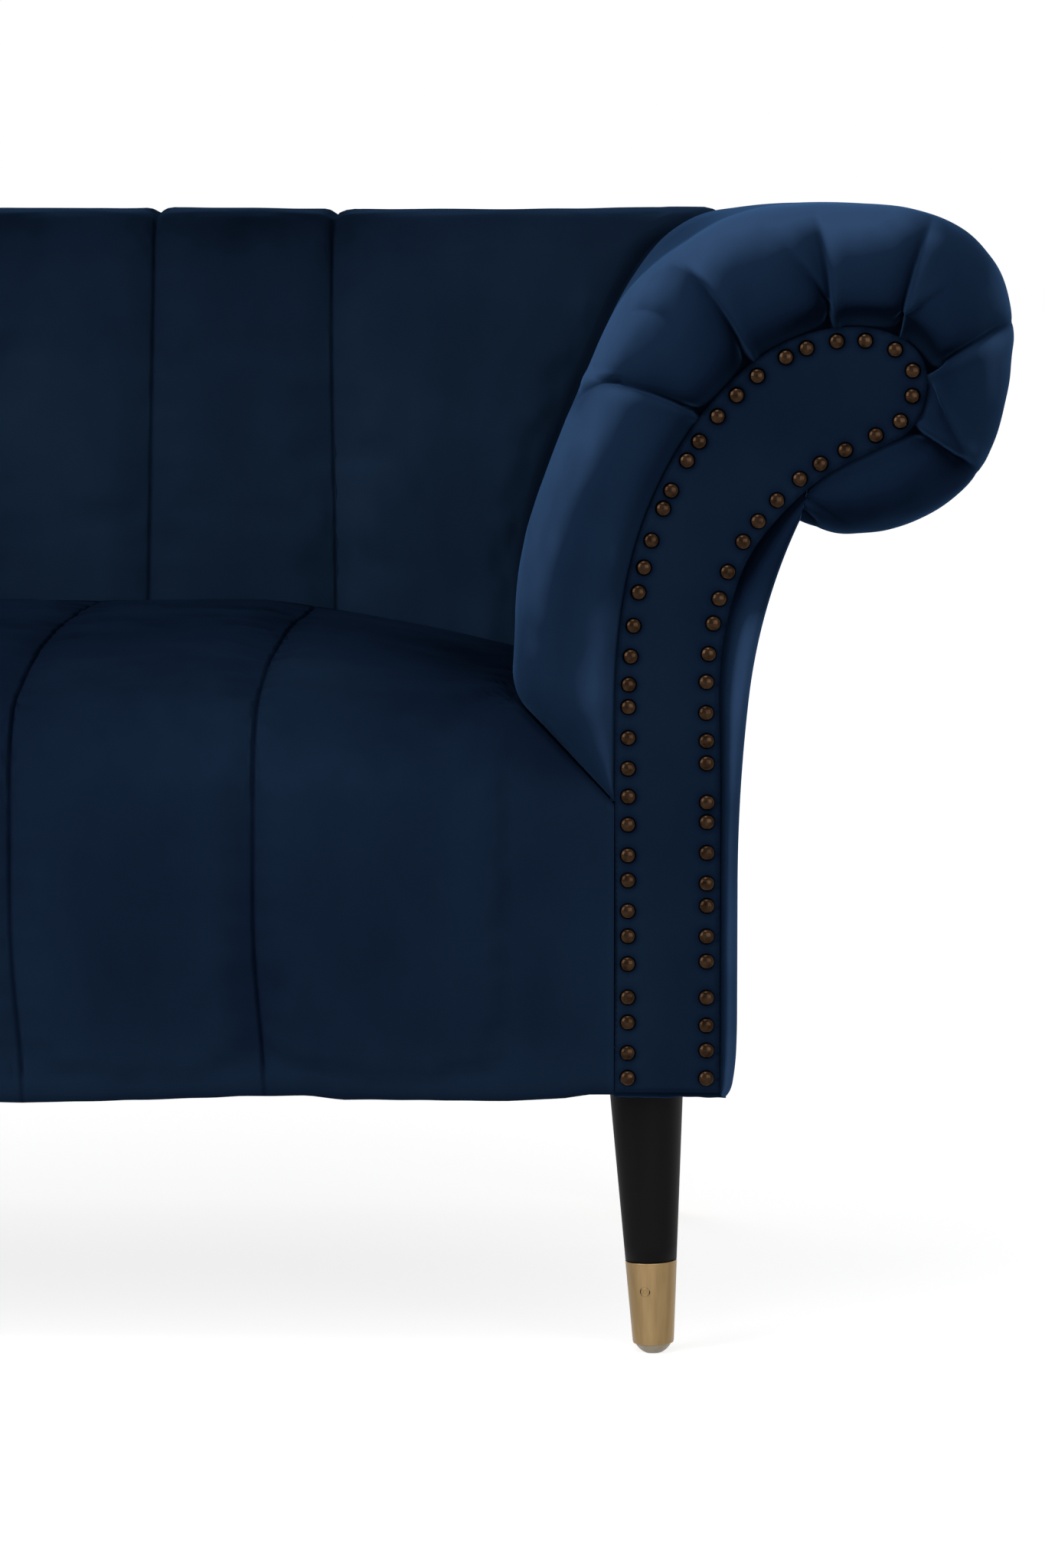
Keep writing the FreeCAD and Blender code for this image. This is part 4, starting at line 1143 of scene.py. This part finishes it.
def seat_painted_shading(sections):
    """Painted light and shade on the seat: lightest round the front edge, darker towards the crease and the
    arms.
    """
    x, y, z = np.moveaxis(sections, 2, 0)
    reach = np.abs(x)
    deep = smoothstep(SEAT_FRONT + 40.0, SEAT_FRONT + 280.0, y)
    beside_arm = smoothstep(390.0, SEAT_SIDE_X, reach) * smoothstep(385.0, 425.0, z)
    below_arm = bell(np.maximum(ARM_FOOT_SUM - reach - z, 0.0), 45.0) * smoothstep(385.0, 415.0, z)
    light = SEAT_EDGE_LIGHT * bell(z - 405.0, 45.0) + HEM_LIGHT * smoothstep(240.0, 195.0, z)
    return light - SEAT_REAR_SHADE * deep - SEAT_SIDE_SHADE * beside_arm - SEAT_ARM_SHADE * below_arm


def make_seat(material):
    columns = seam_columns(SEAT_SEAMS, SEAT_END_X)
    made = [seat_section(x) for x in columns]
    sections = np.array([np.insert(section, 0, x, axis=1) for x, (section, _) in zip(columns, made)])
    weights = np.array([weight for _, weight in made])
    uneven = weights * smoothstep(SEAT_SIDE_X, SEAT_FALL_X, np.abs(columns))[:, None]
    relief = -channel_sink(columns, SEAT_SEAMS, SEAT_CREST_X, SEAT_CHANNEL) * weights
    relief += seam_puckers(sections, columns, SEAT_SEAMS, SEAT_PUCKERS) * weights
    relief += (unevenness(sections, *SEAT_WAVES) + unevenness(sections, *SEAT_RIPPLES)) * uneven
    painted_shading = seat_painted_shading(sections)
    drift(sections)
    seam = seam_gap(columns, SEAT_SEAMS)
    held = (weights < SEAT_REAR_CHANNEL) | (np.abs(columns) > SEAT_SIDE_X - 8.0)[:, None]
    held[:, -8:] = True
    taper = 1.0 - 0.5 * smoothstep(SEAT_FRONT + 90.0, SEAT_FRONT + 240.0, sections[:, :, 1])
    make_cover("seat", material, sections, seam, relief, uneven, taper, held, painted_shading)


# Back


def arm_inner_x(z):
    """Where the inner side of the right arm stands at height z."""
    line = outline(ARM_LINE)
    climb = line[: np.argmax(line.imag)]
    return np.interp(z, climb.imag, climb.real)


def back_section():
    """Closed section of the back without its channels, as (y, z) points, and their share of the channels."""
    front_z = np.linspace(BACK_LOW, BACK_SHOULDER_Z, 44)
    front = (back_front_y(front_z), front_z)
    shoulder_y = back_front_y(BACK_SHOULDER_Z)
    turn = np.linspace(0.0, QUARTER, 18)[1:]
    roll_y = shoulder_y + BACK_ROUND * (1.0 - np.cos(turn))
    roll = (roll_y, BACK_SHOULDER_Z + (BACK_EDGE - BACK_SHOULDER_Z) * np.sin(turn))
    t = np.linspace(0.0, 1.0, 26)[1:]
    edge_y = shoulder_y + BACK_ROUND
    top_z = BACK_EDGE * (1 - t) * (1 - 2 * t) + BACK_TOP * 4 * t * (1 - t)
    top_z += BACK_REAR_EDGE_Z * t * (2 * t - 1)
    top = (edge_y + (outside_y(BACK_REAR_EDGE_Z) - edge_y) * t, top_z)
    shown = soften(np.hstack([front, roll, top]).T, 5)
    near, far = BACK_FRAME
    inner = [
        (outside_y(BACK_REAR_EDGE_Z, near), BACK_REAR_EDGE_Z),
        (outside_y(BACK_RAIL_Z, near), BACK_RAIL_Z),
        (outside_y(BACK_RAIL_Z, far), BACK_RAIL_Z),
        (outside_y(540.0, far), 540.0),
        (outside_y(BACK_LOW, far), BACK_LOW),
    ]
    weight = np.ones(len(shown))
    weight[-8:] = np.linspace(1.0, 0.3, 8)
    return np.vstack([shown, inner]), np.append(weight, np.zeros(len(inner)))


def make_back(material):
    section, weight = back_section()
    y, z = section.T
    columns = seam_columns(BACK_SEAMS, BACK_END_X)
    x = columns[:, None]
    outer_seam = BACK_SEAMS[-1]
    reach = arm_inner_x(np.clip(z, BACK_FOOT_Z, HEIGHT - 1.0)) - 1.0
    spread = (np.abs(x) - outer_seam) / (BACK_END_X - outer_seam)
    xs = np.where(spread > 0, np.sign(x) * (outer_seam + spread * (reach - outer_seam)), x)
    lean = np.minimum((np.abs(x) / outer_seam) ** 6, 1.0 - np.maximum(spread, 0.0))
    xs = xs + BACK_SEAM_DRIFT * np.sign(x) * lean * smoothstep(BACK_SHOULDER_Z, BACK_FOOT_Z, z)
    sections = np.stack(np.broadcast_arrays(xs, y, z), axis=2)
    gap = reach - np.abs(xs)
    seam = seam_gap(columns, BACK_SEAMS)
    over = smoothstep(BACK_SHOULDER_Z - 10.0, BACK_SHOULDER_Z + 30.0, z)
    sink = channel_sink(columns, BACK_SEAMS, BACK_CREST_X, BACK_CHANNEL) * (1.0 - over)
    sink = sink + TOP_NOTCH * bell(seam, TOP_NOTCH_WIDTH)[:, None] * over
    relief = seam_puckers(sections, columns, BACK_SEAMS, BACK_PUCKERS) - sink
    relief -= BACK_SIDE_TUCK * bell(gap, BACK_TUCK_REACH)
    relief += unevenness(sections, *BACK_WAVES) + unevenness(sections, *BACK_RIPPLES)
    relief *= weight
    # Painted light low down and beside the arm, painted shade at the arm's edge, high up and over the top
    painted_shading = BACK_LIGHT + BACK_SIDE_LIGHT * smoothstep(280.0, 60.0, gap) - BACK_EDGE_SHADE * bell(gap, 14.0)
    painted_shading = painted_shading - BACK_HIGH_SHADE * smoothstep(620.0, BACK_SHOULDER_Z, z) - BACK_TOP_SHADE * over
    held = (weight < 1.0) | (z < BACK_FOOT_Z - 10.0) | (gap < 20.0)
    taper = 1.0 - 0.85 * smoothstep(BACK_SHOULDER_Z - 80.0, BACK_SHOULDER_Z, sections[:, :, 2])
    inside = smoothstep(10.0, 60.0, gap) * weight
    make_cover("back", material, sections, seam, relief, inside, taper, held, painted_shading)


# Rear and underside


def make_outside_back(material):
    """The flat panel behind the back: cloth drawn over the board and turned in at its edges."""
    across = np.linspace(-OUTSIDE_BACK_X, OUTSIDE_BACK_X, 60)[:, None]
    x, z = np.broadcast_arrays(across, np.linspace(BASE, OUTSIDE_BACK_Z, 40))
    edge = np.minimum(OUTSIDE_BACK_X - np.abs(x), np.minimum(z - BASE, OUTSIDE_BACK_Z - z))
    points = np.stack([x, outside_y(z) - 2.0 * bell(edge, 6.0), z], axis=2)
    points[:, :, 1] += unevenness(points, *OUTSIDE_BACK_WAVES) - OUTSIDE_BACK_WAVES[0]
    points = np.pad(points, ((1, 1), (1, 1), (0, 0)), mode="edge")
    border = np.ones(points.shape[:2], bool)
    border[1:-1, 1:-1] = False
    points[border, 1] -= TURNED_IN
    faces = flip(grid_faces(*points.shape[:2]))
    flat = points.reshape(-1, 3)
    replaced = ("outside_back_cover",)
    piece = make_piece("outside_back", flat, faces, material, "velvet", replaced, shell=OUTSIDE_BACK_SHELL)


def make_dust_cover(material):
    """Black cloth under the frame: it sags a little between the rails and is cut out round the legs."""
    front, rear = DUST_Y
    corners = ((-DUST_X, front), (DUST_X, front), (DUST_X, rear), (-DUST_X, rear))
    rim = np.array([complex(*corner) for corner in corners])
    turn = np.exp(1j * np.linspace(0.0, 2.0 * math.pi, 40, endpoint=False))
    holes = [complex(sign * LEG_X, y) + LEG_HOLE * turn for sign in (1.0, -1.0) for y in LEG_Y.values()]
    plan, faces = filled([rim, *holes], DUST_STEP)
    middle = (front + rear) / 2.0
    across = np.clip(1.0 - (plan.real / DUST_X) ** 2, 0.0, 1.0)
    along = np.clip(1.0 - ((plan.imag - middle) / (rear - middle)) ** 2, 0.0, 1.0)
    points = np.column_stack([plan.real, plan.imag, BASE - 1.0 - DUST_SAG * np.sqrt(across) * along])
    points[:, 2] += unevenness(points, *DUST_WAVES) * along * across
    replaced = ("dust_cover",)
    piece = make_piece("dust_sheet", points, flip(faces), material, "dust_cloth", replaced, shell=DUST_SHELL)


# Legs


def leg_axis(hand, end):
    sign = 1.0 if hand == "right" else -1.0
    top = np.array([sign * LEG_X, LEG_Y[end], BASE])
    down = np.array([sign * math.sin(LEG_SPLAY), 0.0, -math.cos(LEG_SPLAY)])
    return top, down


def leg_radius(depth):
    return LEG_TOP_RADIUS + (LEG_END_RADIUS - LEG_TOP_RADIUS) * depth / LEG_LENGTH


def along_leg(start, end, count, rise=0.0):
    """Profile points from one depth of a leg to another, a little proud of it where they have a rise."""
    return [(leg_radius(depth) + rise, depth) for depth in np.linspace(start, end, count)]


def turned(profile, hand, end):
    """Points and faces of a turned solid on a leg's axis, from (radius, depth) points of its profile."""
    top, down = leg_axis(hand, end)
    side_way = np.array([down[2], 0.0, -down[0]])
    angles = np.linspace(0.0, 2.0 * math.pi, ROUND_SIDES, endpoint=False)[:, None]
    spokes = np.cos(angles) * side_way + np.sin(angles) * np.array([0.0, 1.0, 0.0])
    rings = [top + down * depth + spokes * radius for radius, depth in profile]
    return np.vstack(rings), grid_faces(len(profile), ROUND_SIDES, wrap=True)


def make_legs(lacquer, brass, plastic):
    rim = leg_radius(FERRULE_START)
    mouth = leg_radius(LEG_LENGTH)
    wood = [(0.0, 0.4), (LEG_TOP_RADIUS - 1.2, 0.4), (leg_radius(1.0), 1.6)]
    wood += along_leg(4.0, FERRULE_START - 0.6, 12)
    wood += [(rim - 1.0, FERRULE_START - 0.1), (0.0, FERRULE_START - 0.1)]
    lip = (rim - 1.0, FERRULE_START + 0.3)
    sleeve = [lip, (rim - 0.1, FERRULE_START + 0.1), (rim + FERRULE_RISE, FERRULE_START + 0.4)]
    sleeve.append((leg_radius(FERRULE_START + 0.8) + FERRULE_RISE, FERRULE_START + 0.8))
    sleeve += along_leg(FERRULE_START + 2.0, LEG_LENGTH - 1.5, 10, FERRULE_RISE)
    sleeve += [(mouth - 0.1, LEG_LENGTH - 0.3), (mouth - 0.7, LEG_LENGTH), (mouth - 1.3, LEG_LENGTH - 0.4)]
    sleeve += [(mouth - 1.3, FERRULE_MOUTH), lip]
    rise = GLIDE_END - LEG_LENGTH
    ball = (GLIDE_RADIUS**2 + rise**2) / (2.0 * rise)
    turns = np.linspace(math.asin(GLIDE_RADIUS / ball), 0.0, 9)
    dome = [(0.0, FERRULE_MOUTH), (GLIDE_RADIUS, FERRULE_MOUTH)]
    dome += [(ball * math.sin(turn), GLIDE_END - ball + ball * math.cos(turn)) for turn in turns]
    glides, glide_faces = [], []
    for hand, end in LEGS:
        name = f"{end}_{hand}"
        make_piece(f"{name}_turned_leg", *turned(wood, hand, end), lacquer, "black_wood", (f"{name}_leg",))
        make_piece(f"{name}_socket", *turned(sleeve, hand, end), brass, "brass", (f"{name}_ferrule",))
        points, faces = turned(dome, hand, end)
        points[:, 2] = np.maximum(points[:, 2], 0.0)
        glide_faces += moved(faces, len(glides))
        glides.extend(points)
    make_piece("glide_domes", glides, glide_faces, plastic, "glide_plastic", ("glides",))


def screw_head(hand, end):
    """Points, faces and painted shade of a countersunk head with a cross recess, set in the side of a
    ferrule: the painted shade darkens the recess and the groove round the head.
    """
    top, down = leg_axis(hand, end)
    ahead = -1.0 if end == "front" else 1.0
    out = np.array([-math.copysign(math.sin(SCREW_TURN), top[0]), ahead * math.cos(SCREW_TURN), 0.0])
    out -= down * (out @ down)
    out /= np.linalg.norm(out)
    taper = (LEG_TOP_RADIUS - LEG_END_RADIUS) / LEG_LENGTH
    normal = (out + down * taper) / math.hypot(1.0, taper)
    side = np.cross(normal, down)
    side /= np.linalg.norm(side)
    up = np.cross(side, normal)
    middle = top + down * SCREW_DEPTH + out * (leg_radius(SCREW_DEPTH) + 0.1)
    radii = np.append(np.linspace(0.0, 1.0, 17)[1:], [1.06, 1.12, 1.18, 1.24, 1.26]) * SCREW_RADIUS
    angles = np.linspace(0.0, 2.0 * math.pi, ROUND_SIDES, endpoint=False)
    u = radii[:, None] * np.cos(angles)
    v = radii[:, None] * np.sin(angles)
    away = np.hypot(u, v)
    reach, half = SCREW_CROSS
    off_bar = np.minimum(np.abs(u - v), np.abs(u + v)) / math.sqrt(2.0)
    recess = smoothstep(half + 0.25, half, off_bar) * smoothstep(reach, reach - 0.5, away)
    groove = bell(away - 1.08 * SCREW_RADIUS, 0.3)
    height = 0.42 - 0.2 * smoothstep(0.8 * SCREW_RADIUS, 1.2 * SCREW_RADIUS, away)
    height -= 0.9 * recess + 0.6 * groove
    height[-1] = -0.9
    rings = middle + u[:, :, None] * side + v[:, :, None] * up + height[:, :, None] * normal
    points = np.vstack([rings.reshape(-1, 3), [middle - 0.48 * normal]])
    faces = grid_faces(len(radii), ROUND_SIDES, wrap=True)
    faces += [(len(points) - 1, j, i) for i, j in ring_edges(ROUND_SIDES)]
    # Painted shade in the cross recess and the groove round the head
    return points, faces, np.append(-0.8 * np.maximum(recess, groove), -0.8)


def make_screws(brass):
    points, faces, recess_shade = [], [], []
    for hand, end in LEGS:
        head, head_faces, head_recess_shade = screw_head(hand, end)
        faces += moved(head_faces, len(points))
        points.extend(head)
        recess_shade.extend(head_recess_shade)
    make_piece("ferrule_screws", points, faces, brass, "brass", painted_shading=recess_shade)


# Stage


def seen_share(tree, low, high):
    """One value for diffuse light, and another where the camera, a reflection or clear material sees it."""
    seen = tree.nodes.new("ShaderNodeLightPath").outputs
    mirrored = put_together(tree, "MAXIMUM", seen["Is Glossy Ray"], seen["Is Transmission Ray"])
    choice = tree.nodes.new("ShaderNodeMapRange")
    set_inputs(choice, To_Min=low, To_Max=high)
    tree.links.new(put_together(tree, "MAXIMUM", seen["Is Camera Ray"], mirrored), choice.inputs["Value"])
    return choice.outputs["Result"]


def make_floor():
    corners = np.array([(-1, -1, 0), (1, -1, 0), (1, 1, 0), (-1, 1, 0)]) * FLOOR_REACH
    mesh = new_mesh("floor", corners, [(0, 1, 2, 3)])
    floor = new_object("floor", mesh)
    material, tree, shader = new_material("pale_floor")
    set_inputs(shader, Base_Color=(0.6, 0.6, 0.6, 1.0), Roughness=0.9)
    glow = tree.nodes.new("ShaderNodeEmission")
    both = tree.nodes.new("ShaderNodeAddShader")
    tree.links.new(seen_share(tree, 0.0, 0.75), glow.inputs["Strength"])
    tree.links.new(shader.outputs[0], both.inputs[0])
    tree.links.new(glow.outputs[0], both.inputs[1])
    tree.links.new(both.outputs[0], tree.nodes["Material Output"].inputs["Surface"])
    mesh.materials.append(material)


def make_world():
    """White where it is seen or mirrored, and a plain soft light elsewhere."""
    world = bpy.data.worlds.new("studio")
    scene.world = world
    world.use_nodes = True
    tree = world.node_tree
    background = tree.nodes["Background"]
    set_inputs(background, Color=(1.0, 1.0, 1.0, 1.0))
    tree.links.new(seen_share(tree, 0.32, 1.0), background.inputs["Strength"])


def aimed(way):
    return Vector(way).to_track_quat("-Z", "Y").to_euler()


def make_lights():
    for name, (place, size, power) in LAMPS.items():
        lamp = bpy.data.lights.new(name, "AREA")
        lamp.shape = "RECTANGLE"
        lamp.size, lamp.size_y = size
        lamp.energy = power
        light = new_object(name, lamp)
        light.location = place
        light.rotation_euler = aimed(Vector(LAMP_TARGET) - Vector(place))


def make_camera():
    data = bpy.data.cameras.new("camera")
    data.sensor_width = SENSOR
    data.lens = FOCAL_PIXELS / PHOTO_SIZE[1] * SENSOR
    data.clip_end = 200.0
    camera = new_object("camera", data)
    camera.location = Vector(CAMERA_PLACE) * MM
    aside = (PHOTO_SIZE[0] / 2.0 - VANISHING_PIXEL[0]) / FOCAL_PIXELS
    down = (PHOTO_SIZE[1] / 2.0 - VANISHING_PIXEL[1]) / FOCAL_PIXELS
    camera.rotation_euler = aimed((aside, 1.0, -down))
    scene.camera = camera


# The sofa

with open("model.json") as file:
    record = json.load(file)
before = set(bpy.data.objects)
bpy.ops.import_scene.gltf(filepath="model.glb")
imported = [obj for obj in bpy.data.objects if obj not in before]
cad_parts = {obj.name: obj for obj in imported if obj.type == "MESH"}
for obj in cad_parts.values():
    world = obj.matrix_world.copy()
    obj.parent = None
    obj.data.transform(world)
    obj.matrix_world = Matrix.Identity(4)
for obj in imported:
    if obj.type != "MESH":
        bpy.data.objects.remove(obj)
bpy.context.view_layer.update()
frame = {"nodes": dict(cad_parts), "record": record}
scene = bpy.context.scene
scene.view_settings.view_transform = "Standard"

# Copies of one velvet, each a little lighter or darker and with more or less sheen for the part it covers;
# the colour differences stand for how light falls there and are painted light, and the arm's much brighter
# top colour holds its painted highlights
arm_velvet = velvet("velvet_arm", (0.0040, 0.0100, 0.0260), (0.0072, 0.0180, 0.0420), 0.25, (4.1, 3.6, 3.4))
seat_velvet = velvet("velvet_seat", (0.0040, 0.0092, 0.0235), (0.0075, 0.0180, 0.0400), 0.02)
back_velvet = velvet("velvet_back", (0.0047, 0.0108, 0.0248), (0.0080, 0.0186, 0.0395), 0.08)
facing_velvet = velvet("velvet_facing", (0.0036, 0.0090, 0.0225), (0.0062, 0.0155, 0.0340), 0.08)
dust_cloth = mottled("dust_cloth", (0.006, 0.006, 0.007), (0.016, 0.016, 0.017), 350.0, EVENLY, 0.9)
plastic = mottled("glide_plastic", (0.3, 0.25, 0.18), (0.42, 0.36, 0.27), 120.0, EVENLY, 0.45, bump=0.05)
bronze = grained("aged_bronze", BRONZE, BRONZE_WEAR, (0.1, 0.2), Metallic=1.0, Roughness=0.17)
# The brass takes painted shade from the mesh, which darkens the screws' recesses
brass = grained(
    "brushed_brass", BRASS, BRUSH_MARKS, (0.12, 0.12), True, Metallic=1.0, Roughness=0.34, Anisotropic=0.4
)
lacquer = grained("black_lacquer", LACQUER, WOOD_GRAIN, (0.08, 0.3), Roughness=0.5, Specular_IOR_Level=0.06)

make_arms(arm_velvet)
make_outside_arms(arm_velvet)
make_facings(facing_velvet)
make_rear_panels(back_velvet)
make_nails(bronze)
make_seat(seat_velvet)
make_back(back_velvet)
make_outside_back(back_velvet)
make_dust_cover(dust_cloth)
make_legs(lacquer, brass, plastic)
make_screws(brass)

LOOKS = {
    "velvet": arm_velvet,
    "timber": mottled("beech", (0.42, 0.27, 0.15), (0.62, 0.43, 0.26), 14.0, (0.25, 1.0, 1.0), 0.6),
    "hardboard": mottled("hardboard", (0.15, 0.085, 0.045), (0.24, 0.145, 0.08), 220.0, EVENLY, 0.7),
    "spring_steel": mottled("spring_steel", (0.1, 0.1, 0.1), (0.2, 0.2, 0.2), 90.0, EVENLY, 0.4, 1.0),
    "plated_steel": mottled("plated_steel", (0.5, 0.5, 0.47), (0.65, 0.65, 0.61), 90.0, EVENLY, 0.35, 1.0),
    "webbing": mottled("webbing", (0.012, 0.012, 0.012), (0.045, 0.045, 0.045), 500.0, (1.0, 1.0, 0.2), 0.85),
    "hessian": mottled("hessian", (0.28, 0.19, 0.1), (0.5, 0.37, 0.21), 420.0, (1.0, 0.3, 1.0), 0.9),
}
slots = {row["node"]: row["material_slot"] for row in frame["record"]["subparts"]}
for node, piece in frame["nodes"].items():
    if slots[node] in LOOKS:
        piece.data.materials.clear()
        piece.data.materials.append(LOOKS[slots[node]])

make_floor()
make_world()
make_lights()
make_camera()
